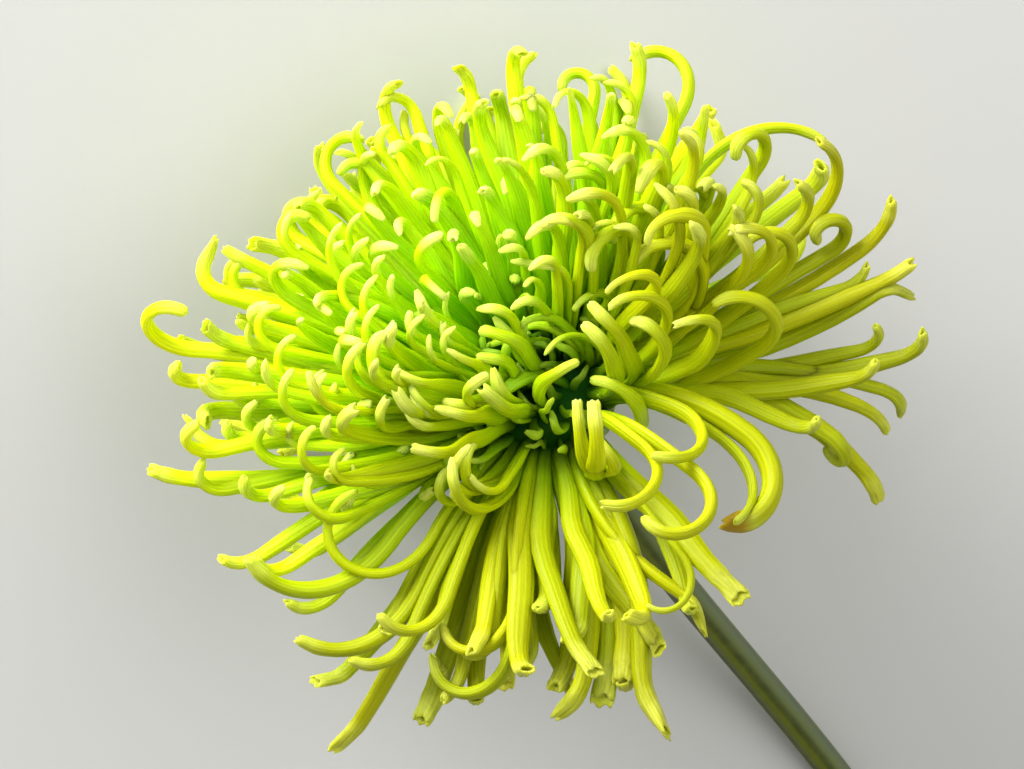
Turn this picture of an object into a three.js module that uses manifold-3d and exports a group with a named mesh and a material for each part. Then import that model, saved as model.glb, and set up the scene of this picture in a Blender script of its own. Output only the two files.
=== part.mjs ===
// A disbud chrysanthemum: one large head of quilled ray florets on a cut stem.
// It lies as a cut flower does, leaning on its lowest florets and on the cut end of the stem.
// Millimetres, +Z up, the surface at z = 0, the stem pointing along +X.
import * as THREE from 'three';
import { mergeVertices } from 'three/addons/utils/BufferGeometryUtils.js';
import Module from 'manifold-3d';

const wasm = await Module();
wasm.setup();

// Place of the head: its centre, and how steeply its axis rises away from the stem.
const HEAD = new THREE.Vector3(-31.59, -0.93, 48);
const AXIS_SLOPE = 32;

// The solid heart that every floret grows from: the receptacle, and round it the part of the
// crown where the roots of the florets are packed. Radius and height pairs, in the head's own
// frame, where +Z is the flower's axis and the stem is below.
const RECEPTACLE = [[0, -4], [7, -4], [10.5, -2.6], [14, 1], [15.5, 6], [13, 10], [7, 12], [0, 12]];
const RECEPTACLE_SIDES = 18;

// Roots of the florets inside the receptacle.
const ROOT_RADIUS = 9;
const ROOT_HEIGHT = 7;
const CROWN_ROOT_OFFSET = 1;

// Cross-section of a floret: a slightly flattened quill, narrow at its root and at its end,
// where the crown's florets narrow more than the outer ones do.
const ROOT_WIDTH = 0.6;
const FULL_WIDTH_AT = 0.6;
const FLATNESS = 0.82;
const CROWN_TIP_WIDTH = 0.65;
const OUTER_TIP_WIDTH = 0.8;
const TAPER_LENGTH = 10;
const TIP_ROUNDING = 0.3;
// The curl is never tighter than this radius, and goes from gentle to tight along its length.
const CURL_RADIUS = 2;
const CURL_START = 0.55;
const CURL_END = 1.45;
const FEW_SIDES = 3;
const MORE_SIDES = 4;
// A ring with this few sides is drawn that much wider, to fill as much as the round quill does.
const SWELL = { 3: 1.5, 4: 1.22 };

// Fine steps along one floret; the solid keeps only some of them as rings.
const SHAFT_STEPS = 10;
const HOOK_STEPS = 14;
const DEGREES_A_RING = 55;
const MOST_HOOK_RINGS = 4;

// Crown: the dense incurved florets, placed by the golden angle from the pole outwards.
// Pairs are [share of the way out, value]; a spread is the most that a draw adds or takes away.
const GOLDEN_ANGLE = 137.508;
const CROWN = {
  count: 260,
  seed: 7,
  edge: 80,
  azimuthSpread: 5,
  polarSpread: 4,
  reach: [[0, 10], [0.04, 13], [0.09, 23], [0.2, 33], [0.5, 41], [1, 45]],
  reachSpread: 3,
  bow: [[0, 0], [0.3, 4], [1, 3]],
  bowSpread: 3,
  swaySpread: 4,
  hook: [[0, 6], [0.2, 9], [1, 10]],
  hookSpread: 4,
  curl: [[0, 100], [0.4, 120], [1, 115]],
  curlSpread: 60,
  rollSpread: 45,
  width: 2.7,
  widthSpread: 0.4,
};
// The crown stands taller and opens wider on one side, towards this azimuth.
const HIGH_SIDE = 178;
const HIGHER_REACH = 0.12;
const HIGHER_FROM = 0.5;
const WIDER_OPEN = 0.09;
const CROWN_CLOSED = 0.93;
// On the near side only the crown's middle follows the rule; the rest is set row by row.
const NEAR_SIDE = 66;
const NEAR_FROM = 0.1;

// Whorls that follow a rule, each in two layers: one underneath, on the side that faces the
// surface; one between the crown and the outermost florets of the far side; and the skirt,
// behind the outermost florets of the near side.
const UNDER = {
  count: 24,
  seed: 11,
  from: 104,
  span: 150,
  azimuthSpread: 3,
  polar: [92, 110],
  polarSpread: 4,
  reach: 57,
  reachSpread: 4,
  bowSpread: 3,
  swaySpread: 5,
  hook: 10,
  hookSpread: 4,
  curl: 90,
  curlSpread: 60,
  rollSpread: 90,
  width: 3.2,
  widthSpread: 0.3,
  sides: FEW_SIDES,
};
const FAR_SIDE = {
  count: 26,
  seed: 13,
  from: 150,
  span: 112,
  azimuthSpread: 3,
  polar: [62, 74],
  polarSpread: 5,
  reach: 52,
  reachSpread: 4,
  bowSpread: 3,
  swaySpread: 4,
  hook: 8,
  hookSpread: 3,
  curl: 110,
  curlSpread: 50,
  rollSpread: 60,
  width: 3.1,
  widthSpread: 0.4,
  sides: FEW_SIDES,
};
const SKIRT = {
  count: 14,
  seed: 17,
  from: 296,
  span: 66,
  azimuthSpread: 3,
  polar: [97, 108],
  polarSpread: 4,
  reach: 46,
  reachSpread: 4,
  bowSpread: 2,
  swaySpread: 3,
  hook: 7,
  hookSpread: 3,
  curl: 60,
  curlSpread: 50,
  rollSpread: 60,
  width: 3.6,
  widthSpread: 0.5,
  sides: MORE_SIDES,
};
// The solid keeps one floret of this many, and none of this many short ones in the crown's
// middle; of the rows round the near side it leaves out one of this many.
const MIDDLE_LEFT_OUT = 34;
const CROWN_KEPT = 3;
const WHORL_KEPT = 3;
const FRONT_LEFT_OUT = 3;

// How a floret settles on the surface: over this length, with its underside pressed flat.
const LANDING_LENGTH = 6;
const PRESSED_IN = 0.6;

// Involucre, the cup of green bracts under the head, and its overlapping rings of bracts.
const CUP = [[0, -12], [3.9, -12], [6.6, -10.4], [9, -7.4], [10, -4.6], [9.6, -3.5], [7, -4.35], [0, -4.35]];
const CUP_SIDES = 24;
const BRACT_RINGS = [
  { count: 11, radius: 6.3, height: -9.9, lean: 46, length: 4.6, width: 3.6 },
  { count: 13, radius: 8.4, height: -7.7, lean: 31, length: 4.8, width: 3.7 },
  { count: 15, radius: 9.75, height: -5.4, lean: 12, length: 3.4, width: 3.4 },
];
const BRACT_THICKNESS = 1;
const BRACT_SIDES = 6;
const BRACT_BANDS = 4;

// Stem: a ribbed stalk, a little wider where it joins the cup.
const STEM_TOP = -12.3;
const STEM_RADIUS = 2.9;
const STEM_RIBS = 6;
const SIDES_A_RIB = 4;
const RIB_DEPTH = 0.24;
const STEM_TOP_RADIUS = 3.5;
const STEM_FLARE_LENGTH = 14;
const STEM_STRAIGHT = 44;
const STEM_REACH = 119;
const STEM_SIDEWAYS = 10;
const STEM_END_HEIGHT = 2.5;
const STEM_LYING = 36;
const STEM_LYING_SIDEWAYS = 2;
const STEM_STEPS = 26;

// Outermost florets, one row each: azimuth round the axis, polar angle from it, reach of the
// shaft, bow towards the stem, sway, length of the curled end, its curl, the roll of the
// curl's plane (0 curls to the flower's pole) and the width. Degrees and millimetres.
const OUTER = [
  [90, 89, 50, 4, 0, 21, 105, 0, 3.0],
  [110, 76, 46, -4, 0, 23, 85, -120, 2.8],
  [98, 76, 52, 4, 0, 13, 220, 0, 2.9],
  [98, 84, 50, 0, 0, 3, 10, 0, 3.3],
  [77, 82, 45, 8, 0, 16, 200, 0, 2.8],
  [62, 88, 38, 8, 0, 20, 170, 0, 3.0],
  [84, 94, 57, 7, 0, 11, 60, 0, 3.0],
  [85, 92, 53, 4, 0, 14, 260, 0, 2.9],
  [78, 97, 57, 4, 0, 7, 20, 0, 3.4],
  [77, 98, 57, 10, 0, 7, 130, 180, 3.2],
  [80, 97, 52, 0, 0, 6, 70, 0, 2.6],
  [69, 106, 58, 6, 0, 8, 90, 0, 3.4],
  [72, 106, 52, 4, 0, 7, 110, 0, 2.8],
  [66, 110, 55, -3, 6, 7, 90, 180, 2.6],
  [60, 108, 51, -3, 6, 7, 60, 180, 3.0],
  [50, 106, 48, -3, 12, 10, 220, 180, 3.1],
  [50, 114, 53, -3, 14, 6, 60, 180, 3.2],
  [38, 92, 38, -8, 4, 20, 140, -90, 4.8],
  [36, 88, 31, -8, 0, 22, 110, -75, 2.2],
  [36, 78, 26, -6, 0, 23, 160, -60, 2.6],
  [20, 82, 38, -8, 0, 22, 190, -75, 2.8],
  [16, 74, 31, -6, 0, 19, 150, -75, 2.6],
  [9, 98, 48, 0, 0, 4, 10, 0, 4.4],
  [1, 105, 43, -3, -8, 8, 60, -90, 3.0],
  [6, 96, 42, -6, 0, 14, 160, -90, 1.8],
  [348, 106, 51, 0, 8, 12, 50, 90, 4.4],
  [341, 109, 48, 0, 8, 3, 10, 0, 4.6],
  [337, 106, 49, 0, 7, 8, 50, -90, 4.0],
  [331, 110, 48, 0, -8, 3, 10, 0, 3.2],
  [333, 104, 40, 0, 0, 6, 160, 90, 2.4],
  [325, 98, 43, -6, 0, 24, 175, -90, 2.9],
  [326, 94, 38, -5, 0, 20, 160, -90, 2.9],
  [320, 98, 43, -5, 0, 8, 130, -90, 2.6],
  [292, 108, 62, -4, 6, 7, 30, -90, 3.6],
  [288, 103, 56, 0, 4, 7, 110, 0, 3.8],
  [298, 95, 39, -4, 0, 24, 95, -45, 3.8],
  [289, 86, 37, -4, 0, 27, 105, -30, 3.9],
  [297, 88, 32, -4, 0, 31, 220, -40, 2.4],
  [256, 78, 60, 6, 4, 8, 30, 0, 3.6],
  [256, 72, 55, -4, 0, 11, 160, 0, 2.8],
  [252, 74, 50, -4, 0, 6, 120, 0, 2.8],
  [243, 68, 60, 0, 0, 5, 130, 0, 3.0],
  [237, 67, 60, -4, 0, 20, 205, 0, 2.9],
  [228, 61, 57, -4, 0, 12, 160, -60, 4.4],
  [222, 57, 55, 0, 0, 4, 10, -90, 3.6],
  [216, 54, 49, 0, 0, 9, 170, -60, 2.9],
  [196, 56, 51, -4, 0, 13, 160, -80, 2.9],
  [188, 51, 48, -4, 0, 6, 110, 90, 2.9],
  [183, 48, 49, 0, 0, 5, 100, -90, 2.9],
  [176, 60, 51, 0, 0, 5, 40, -90, 2.9],
  [151, 64, 55, 0, 0, 6, 80, -90, 2.9],
  [120, 74, 54, -4, 0, 18, 150, 70, 2.9],
  [127, 68, 54, 0, 0, 8, 60, 0, 3.2],
  [135, 66, 52, -4, 0, 10, 190, 70, 2.9],
  [352, 104, 44, 0, 6, 5, 40, 90, 3.8],
  [345, 107, 49, 0, 8, 3, 20, 0, 4.2],
  [339, 100, 42, 0, 5, 5, 60, 0, 3.6],
  [332, 98, 36, 0, 0, 6, 70, 0, 3.2],
  [326, 104, 42, -3, -3, 6, 60, -40, 3.4],
  [318, 100, 38, 0, 0, 5, 20, 0, 4.0],
  [311, 104, 48, -3, 0, 6, 40, -40, 3.6],
  [304, 108, 52, 0, 0, 5, 20, 0, 4.2],
  [302, 96, 46, -4, 0, 12, 90, -40, 3.2],
  [309, 92, 40, -4, 0, 14, 120, -40, 2.8],
  [283, 92, 48, -4, 0, 9, 90, -20, 3.2],
  [278, 84, 50, -3, 0, 9, 110, 0, 3.0],
  [268, 88, 54, -3, 0, 8, 80, 0, 3.2],
  [265, 78, 48, 0, 0, 8, 110, 0, 2.8],
  [58, 98, 50, 4, 0, 7, 60, 0, 3.4],
  [46, 96, 42, -4, 4, 8, 90, 0, 3.0],
  [88, 84, 50, 5, 0, 9, 100, 0, 3.0],
];

// Florets round the open near side of the crown, in the same columns.
const FRONT = [
  [272, 19, 28, 0, 0, 7, 80, -70, 2.4],
  [282, 27, 31, 0, 0, 8, 120, 10, 2.2],
  [297, 28, 29, 0, 0, 6, 90, -10, 2.4],
  [316, 26, 24, 0, 0, 7, 50, -70, 2.6],
  [338, 24, 18, 0, 0, 7, 70, -80, 2.8],
  [20, 11, 23, 0, 0, 7, 100, -40, 2.6],
  [0, 25, 15, 0, 0, 12, 60, -10, 2.6],
  [56, 28, 20, 6, 0, 8, 100, -30, 2.8],
  [56, 36, 17, 6, 0, 12, 120, 0, 2.8],
  [48, 47, 20, 12, 0, 11, 100, -60, 2.0],
  [104, 44, 18, 12, 0, 8, 100, -15, 2.2],
  [351, 44, 14, 0, 0, 14, 100, 90, 3.0],
  [25, 57, 10, 0, 0, 22, 160, -75, 2.8],
  [336, 46, 20, 0, 0, 9, 80, -30, 2.8],
  [333, 40, 20, 0, 0, 7, 80, 0, 2.4],
  [316, 39, 25, 0, 0, 9, 120, 50, 2.4],
  [318, 41, 25, 0, 0, 6, 120, -80, 2.6],
  [321, 44, 26, 0, 0, 8, 80, -70, 2.8],
  [305, 44, 30, 0, 0, 6, 100, -40, 2.4],
  [305, 47, 31, 0, 0, 5, 90, -50, 2.6],
  [313, 54, 29, 0, 0, 8, 70, -70, 2.8],
  [301, 35, 31, 0, 0, 6, 100, -80, 2.6],
  [324, 73, 24, 0, 0, 9, 110, -30, 2.8],
  [319, 74, 30, 6, 0, 14, 100, 0, 2.8],
  [316, 70, 27, 6, 0, 10, 160, 0, 2.6],
  [313, 68, 29, 6, 0, 12, 120, 30, 2.4],
  [359, 76, 25, 12, 0, 13, 80, 30, 3.0],
  [1, 77, 26, 6, 0, 15, 100, 30, 2.8],
  [6, 82, 26, 6, 0, 9, 120, 0, 2.8],
  [43, 51, 27, 12, 0, 8, 60, 30, 2.8],
  [34, 54, 25, 6, 0, 9, 80, 15, 3.0],
  [30, 76, 23, 12, 0, 11, 100, -15, 3.2],
  [76, 52, 23, 12, 0, 10, 100, -30, 2.8],
  [61, 52, 32, 0, 0, 16, 180, -30, 2.4],
  [56, 60, 31, 6, 0, 15, 160, -15, 2.6],
  [43, 63, 31, 6, 0, 10, 140, 15, 3.0],
  [51, 69, 37, 8, 0, 13, 130, -30, 3.0],
  [73, 66, 36, 12, 0, 17, 160, 0, 3.2],
  [74, 58, 42, 12, 0, 16, 180, -15, 3.4],
  [85, 48, 32, 6, 0, 15, 180, -30, 3.0],
  [98, 61, 34, 12, 0, 14, 160, -15, 3.0],
  [91, 60, 38, 0, 0, 6, 100, 30, 3.0],
  [94, 67, 42, 12, 0, 10, 220, 0, 3.2],
  [72, 74, 42, 0, 0, 16, 170, 0, 2.8],
  [110, 50, 36, 12, 0, 10, 100, 30, 2.8],
  [84, 44, 34, 6, 0, 7, 120, 0, 2.4],
  [79, 32, 33, 0, 0, 10, 110, 0, 2.6],
  [106, 59, 38, 12, 0, 8, 200, 0, 2.6],
  [173, 15, 26, 0, 0, 7, 20, 10, 2.8],
  [153, 31, 24, 0, 0, 5, 40, -40, 2.6],
  [102, 25, 22, 0, 0, 8, 90, 30, 2.4],
  [77, 30, 24, 0, 0, 9, 90, 0, 2.4],
  [153, 19, 34, 0, 0, 5, 150, -20, 2.4],
];

// The head's frame turns its +Z onto the flower's axis; this is the way up seen from inside it.
const { degToRad, radToDeg, lerp, clamp, smoothstep, euclideanModulo } = THREE.MathUtils;
const HEAD_TURN = degToRad(AXIS_SLOPE - 90);
const UP = new THREE.Vector3(Math.cos(degToRad(AXIS_SLOPE)), 0, Math.sin(degToRad(AXIS_SLOPE)));

// A repeatable stream of numbers between 0 and 1.
function makeDraw(seed) {
  let state = seed;
  return () => {
    state = (state * 48271) % 2147483647;
    return state / 2147483647;
  };
}

// A value read off a line through [position, value] stops.
function ramp(position, stops) {
  for (let i = 1; i < stops.length; i += 1) {
    const [from, low] = stops[i - 1];
    const [to, high] = stops[i];
    if (position <= to) return lerp(low, high, (position - from) / (to - from));
  }
  return stops[stops.length - 1][1];
}

// A floret from its row of columns, with the place of its root, the width that its end keeps and
// the number of sides of its quill.
function floretFrom([azimuth, polar, reach, bow, sway, hook, curl, roll, width], inCrown, sides) {
  const rootRadius = inCrown ? CROWN_ROOT_OFFSET + ROOT_RADIUS * Math.sin(degToRad(polar)) : ROOT_RADIUS;
  const rootHeight = inCrown ? ROOT_HEIGHT * Math.cos(degToRad(polar)) : 0;
  const tipWidth = inCrown ? CROWN_TIP_WIDTH : OUTER_TIP_WIDTH;
  return {
    azimuth, polar, reach, bow, sway, hook, curl, roll, width, rootRadius, rootHeight, tipWidth, sides,
  };
}

// Crown florets, from the pole (share 0) to the crown's edge (share 1), longer on the high side
// and left out on the near side.
function crownFlorets() {
  const draw = makeDraw(CROWN.seed);
  const spread = (size) => (draw() * 2 - 1) * size;
  const cap = 1 - Math.cos(degToRad(CROWN.edge));
  const florets = Array.from({ length: CROWN.count }, (_, i) => {
    const share = (i + 0.5) / CROWN.count;
    const azimuth = i * GOLDEN_ANGLE + spread(CROWN.azimuthSpread);
    const high = Math.cos(degToRad(azimuth - HIGH_SIDE));
    const even = radToDeg(Math.acos(1 - cap * share));
    const polar = even * (CROWN_CLOSED + WIDER_OPEN * high) + spread(CROWN.polarSpread);
    const reach = (ramp(share, CROWN.reach) + spread(CROWN.reachSpread))
      * (1 + HIGHER_REACH * high * Math.min(1, share / HIGHER_FROM));
    const bow = ramp(share, CROWN.bow) + spread(CROWN.bowSpread);
    const sway = spread(CROWN.swaySpread);
    const hook = ramp(share, CROWN.hook) + spread(CROWN.hookSpread);
    const curl = ramp(share, CROWN.curl) + spread(CROWN.curlSpread);
    const roll = spread(CROWN.rollSpread);
    const width = CROWN.width + spread(CROWN.widthSpread);
    return floretFrom([azimuth, polar, reach, bow, sway, hook, curl, roll, width], true, FEW_SIDES);
  });
  return florets.filter(({ azimuth }, i) => {
    const fromNear = Math.abs(euclideanModulo(azimuth + 180, 360) - 180);
    return (i + 0.5) / CROWN.count < NEAR_FROM || fromNear > NEAR_SIDE;
  });
}

// Florets spread over a whorl's span of azimuths, in its two layers by turns.
function whorlFlorets(whorl) {
  const draw = makeDraw(whorl.seed);
  const spread = (size) => (draw() * 2 - 1) * size;
  return Array.from({ length: whorl.count }, (_, i) => {
    const azimuth = whorl.from + whorl.span * (i + 0.5) / whorl.count + spread(whorl.azimuthSpread);
    const polar = whorl.polar[i % 2] + spread(whorl.polarSpread);
    const reach = whorl.reach + spread(whorl.reachSpread);
    const bow = spread(whorl.bowSpread);
    const sway = spread(whorl.swaySpread);
    const hook = whorl.hook + spread(whorl.hookSpread);
    const curl = whorl.curl + spread(whorl.curlSpread);
    const roll = spread(whorl.rollSpread);
    const width = whorl.width + spread(whorl.widthSpread);
    return floretFrom([azimuth, polar, reach, bow, sway, hook, curl, roll, width], false, whorl.sides);
  });
}

// Centre line of a floret in fine steps: a bowed shaft, then a curl that tightens to its tip.
function centreLine(floret) {
  const azimuth = degToRad(floret.azimuth);
  const polar = degToRad(floret.polar);
  const out = new THREE.Vector3(Math.cos(azimuth), Math.sin(azimuth), 0);
  const axis = new THREE.Vector3(0, 0, 1);
  const along = new THREE.Vector3().crossVectors(axis, out);
  const aim = out.clone().multiplyScalar(Math.sin(polar)).addScaledVector(axis, Math.cos(polar));
  const down = out.clone().multiplyScalar(Math.cos(polar)).addScaledVector(axis, -Math.sin(polar));

  const root = out.clone().multiplyScalar(floret.rootRadius).addScaledVector(axis, floret.rootHeight);
  const knee = aim.clone().multiplyScalar(floret.reach);
  const middle = root.clone().add(knee).multiplyScalar(0.5)
    .addScaledVector(down, floret.bow).addScaledVector(along, floret.sway);
  const points = new THREE.QuadraticBezierCurve3(root, middle, knee).getPoints(SHAFT_STEPS);

  let tangent = knee.clone().sub(middle).normalize();
  const inPlane = down.clone().addScaledVector(tangent, -down.dot(tangent)).normalize();
  const side = new THREE.Vector3().crossVectors(tangent, inPlane);
  if (side.dot(along) < 0) side.negate();
  const roll = degToRad(floret.roll);
  let turn = inPlane.multiplyScalar(-Math.cos(roll)).addScaledVector(side, Math.sin(roll));
  const bendPlane = turn.clone();

  const mostCurl = floret.hook / CURL_RADIUS;
  const bend = Math.min(degToRad(floret.curl), mostCurl) / HOOK_STEPS;
  const tip = knee.clone();
  for (let i = 0; i < HOOK_STEPS; i += 1) {
    const angle = bend * lerp(CURL_START, CURL_END, (i + 0.5) / HOOK_STEPS);
    const ahead = tangent.clone().multiplyScalar(Math.cos(angle)).addScaledVector(turn, Math.sin(angle));
    turn = turn.multiplyScalar(Math.cos(angle)).addScaledVector(tangent, -Math.sin(angle));
    tangent = ahead;
    tip.addScaledVector(tangent, floret.hook / HOOK_STEPS);
    points.push(tip.clone());
  }
  return { points: layOnSurface(points, floret.width / 2), bendPlane };
}

// Florets that would pass through the surface settle down to it and run along it instead.
function layOnSurface(points, radius) {
  const laid = [points[0].clone()];
  for (let i = 1; i < points.length; i += 1) {
    const step = points[i].clone().sub(points[i - 1]);
    const length = step.length();
    const last = laid[i - 1];
    const clear = Math.max(0, HEAD.z + last.dot(UP) - radius * PRESSED_IN);
    const steepest = -clear * length / LANDING_LENGTH;
    const drop = step.dot(UP);
    if (drop < steepest) {
      step.addScaledVector(UP, -drop).setLength(Math.sqrt(length * length - steepest * steepest));
      step.addScaledVector(UP, steepest);
    }
    laid.push(last.clone().add(step));
  }
  return laid;
}

// Bends a straight closed tube along a line of rings; the cap at its far end may bulge.
function bendTube(rings, sides, capBulge, rib = () => 1) {
  const last = rings.length - 1;
  const tube = new THREE.CylinderGeometry(1, 1, 1, sides, last, false, Math.PI / sides);
  const place = tube.attributes.position;
  const spot = new THREE.Vector3();
  for (let i = 0; i < place.count; i += 1) {
    spot.fromBufferAttribute(place, i);
    const ring = rings[Math.round((spot.y + 0.5) * last)];
    const deep = new THREE.Vector3().crossVectors(ring.across, ring.ahead);
    const isCapCentre = spot.x === 0 && spot.z === 0;
    const swell = isCapCentre ? 1 : rib(Math.atan2(spot.x, spot.z));
    const bulge = isCapCentre && spot.y > 0 ? capBulge : 0;
    const moved = ring.centre.clone()
      .addScaledVector(ring.across, spot.x * ring.halfWidth * swell)
      .addScaledVector(deep, spot.z * ring.halfDepth * swell)
      .addScaledVector(ring.ahead, bulge);
    place.setXYZ(i, moved.x, moved.y, moved.z);
  }
  return tube;
}

// A closed solid from any closed three.js geometry, its shared corners welded.
const WELD_DISTANCE = 1e-4;
function toSolid(geometry) {
  const bare = geometry.clone();
  bare.deleteAttribute('normal');
  bare.deleteAttribute('uv');
  const merged = mergeVertices(bare, WELD_DISTANCE);
  return new wasm.Manifold(new wasm.Mesh({
    numProp: 3,
    vertProperties: new Float32Array(merged.attributes.position.array),
    triVerts: new Uint32Array(merged.index.array),
  }));
}

function toGeometry(solid) {
  const mesh = solid.getMesh();
  const geometry = new THREE.BufferGeometry();
  geometry.setAttribute('position', new THREE.BufferAttribute(mesh.vertProperties, 3));
  geometry.setIndex(new THREE.BufferAttribute(mesh.triVerts, 1));
  geometry.computeVertexNormals();
  return geometry;
}

// Joined in one solid, where a gap that the pieces seal off on every side is filled.
function join(solids) {
  const whole = solids.reduce((sum, next) => sum.add(next));
  return wasm.Manifold.compose(whole.decompose().filter((shell) => shell.volume() > 0));
}

// A block that fills everything below the surface, seen from the frame of an object's matrix.
const BLOCK = { side: 600, depth: 60 };
function belowSurface(matrix) {
  const block = new THREE.BoxGeometry(BLOCK.side, BLOCK.side, BLOCK.depth);
  block.translate(0, 0, -BLOCK.depth / 2);
  return toSolid(block.applyMatrix4(matrix.clone().invert()));
}

// Rings on a line at the stations given: where each is, the way ahead, the way across, which is
// square to it, and half the tube's width and depth there. The width depends on the share of
// the line's length that lies behind a station and on the length that lies ahead of it.
function ringsAlong(points, stations, acrossWay, halfWidthAt, flatness) {
  const last = points.length - 1;
  const run = [0];
  for (let i = 1; i <= last; i += 1) run.push(run[i - 1] + points[i].distanceTo(points[i - 1]));
  return stations.map((station) => {
    const before = points[Math.max(0, station - 1)];
    const after = points[Math.min(last, station + 1)];
    const ahead = after.clone().sub(before).normalize();
    const across = acrossWay.clone().addScaledVector(ahead, -acrossWay.dot(ahead)).normalize();
    const halfWidth = halfWidthAt(run[station] / run[last], run[last] - run[station]);
    return { centre: points[station], ahead, across, halfWidth, halfDepth: halfWidth * flatness };
  });
}

function floretSolid(floret) {
  const { points, bendPlane } = centreLine(floret);
  const hookRings = clamp(Math.round(floret.curl / DEGREES_A_RING), 1, MOST_HOOK_RINGS);
  const stations = [0, SHAFT_STEPS / 2, SHAFT_STEPS];
  for (let i = 1; i <= hookRings; i += 1) {
    stations.push(SHAFT_STEPS + Math.round(HOOK_STEPS * i / hookRings));
  }

  // The side of the curl's plane never turns along the floret, so it fixes every ring.
  const knee = points[SHAFT_STEPS].clone().sub(points[SHAFT_STEPS - 1]).normalize();
  const planeSide = new THREE.Vector3().crossVectors(knee, bendPlane).normalize();
  const halfWidthAt = (share, toTip) => floret.width / 2
    * lerp(ROOT_WIDTH, 1, smoothstep(share, 0, FULL_WIDTH_AT))
    * lerp(floret.tipWidth, 1, smoothstep(toTip, 0, TAPER_LENGTH));
  const rings = ringsAlong(points, stations, planeSide, halfWidthAt, FLATNESS);
  const { sides, width } = floret;
  return toSolid(bendTube(rings, sides, width * TIP_ROUNDING, () => SWELL[sides]));
}

const keepOneOf = (many, florets) => florets.filter((_, i) => i % many === 0);

function makeBloom(headMatrix) {
  const heart = toSolid(new THREE.LatheGeometry(
    RECEPTACLE.map(([radius, height]) => new THREE.Vector2(radius, height)),
    RECEPTACLE_SIDES,
  ).rotateX(Math.PI / 2));
  const florets = [
    ...OUTER.map((row) => floretFrom(row, false, MORE_SIDES)),
    ...FRONT.filter((_, i) => i % FRONT_LEFT_OUT > 0).map((row) => floretFrom(row, true, FEW_SIDES)),
    ...keepOneOf(CROWN_KEPT, crownFlorets().slice(MIDDLE_LEFT_OUT)),
    ...[UNDER, FAR_SIDE, SKIRT].flatMap((whorl) => keepOneOf(WHORL_KEPT, whorlFlorets(whorl))),
  ];
  return join([heart, ...florets.map(floretSolid)]).subtract(belowSurface(headMatrix));
}

function makeInvolucre() {
  const cup = toSolid(new THREE.LatheGeometry(
    CUP.map(([radius, height]) => new THREE.Vector2(radius, height)),
    CUP_SIDES,
  ).rotateX(Math.PI / 2));
  const bracts = BRACT_RINGS.flatMap(({ count, radius, height, lean, length, width }, ring) => (
    Array.from({ length: count }, (_, i) => {
      const bract = new THREE.SphereGeometry(0.5, BRACT_SIDES, BRACT_BANDS).rotateX(Math.PI / 2);
      bract.scale(BRACT_THICKNESS, width, length).rotateY(degToRad(lean)).translate(radius, 0, height);
      return toSolid(bract.rotateZ(2 * Math.PI * (i + 0.5 * (ring % 2)) / count));
    })
  ));
  return join([cup, ...bracts]);
}

// The stem leaves the cup along the flower's axis and bends until it lies on the surface.
function makeStem(headMatrix) {
  const top = new THREE.Vector3(0, 0, STEM_TOP).applyMatrix4(headMatrix);
  const start = new THREE.Vector3(0, 0, STEM_TOP - STEM_STRAIGHT).applyMatrix4(headMatrix);
  const end = new THREE.Vector3(HEAD.x + STEM_REACH, HEAD.y + STEM_SIDEWAYS, STEM_END_HEIGHT);
  const lying = end.clone().sub(new THREE.Vector3(STEM_LYING, STEM_LYING_SIDEWAYS, 0));
  const line = new THREE.CubicBezierCurve3(top, start, lying, end);
  const length = line.getLength();
  const points = line.getSpacedPoints(STEM_STEPS);
  const flareEnd = STEM_FLARE_LENGTH / length;
  const halfWidthAt = (share) => lerp(STEM_TOP_RADIUS, STEM_RADIUS, smoothstep(share, 0, flareEnd));
  const stations = points.map((_, i) => i);
  const rings = ringsAlong(points, stations, new THREE.Vector3(0, 1, 0), halfWidthAt, 1);
  const rib = (angle) => 1 - RIB_DEPTH / STEM_RADIUS * (0.5 - 0.5 * Math.cos(STEM_RIBS * angle));
  const world = new THREE.Matrix4();
  return toSolid(bendTube(rings, STEM_RIBS * SIDES_A_RIB, 0, rib)).subtract(belowSurface(world));
}

function named(name, solid, color, roughness) {
  const material = new THREE.MeshStandardMaterial({ color, roughness, metalness: 0 });
  const mesh = new THREE.Mesh(toGeometry(solid), material);
  mesh.name = name;
  return mesh;
}

const head = new THREE.Group();
head.position.copy(HEAD);
head.rotation.y = HEAD_TURN;
head.updateMatrix();
head.add(named('bloom', makeBloom(head.matrix), 0xbfe01c, 0.5));
head.add(named('involucre', makeInvolucre(), 0x6f9a2a, 0.6));

const flower = new THREE.Group();
flower.add(head);
flower.add(named('stem', makeStem(head.matrix), 0x7d8f45, 0.55));

export default flower;
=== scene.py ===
import math
from collections import namedtuple
from functools import partial

import bmesh
import bpy
import numpy as np
from mathutils import Matrix, Vector


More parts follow.
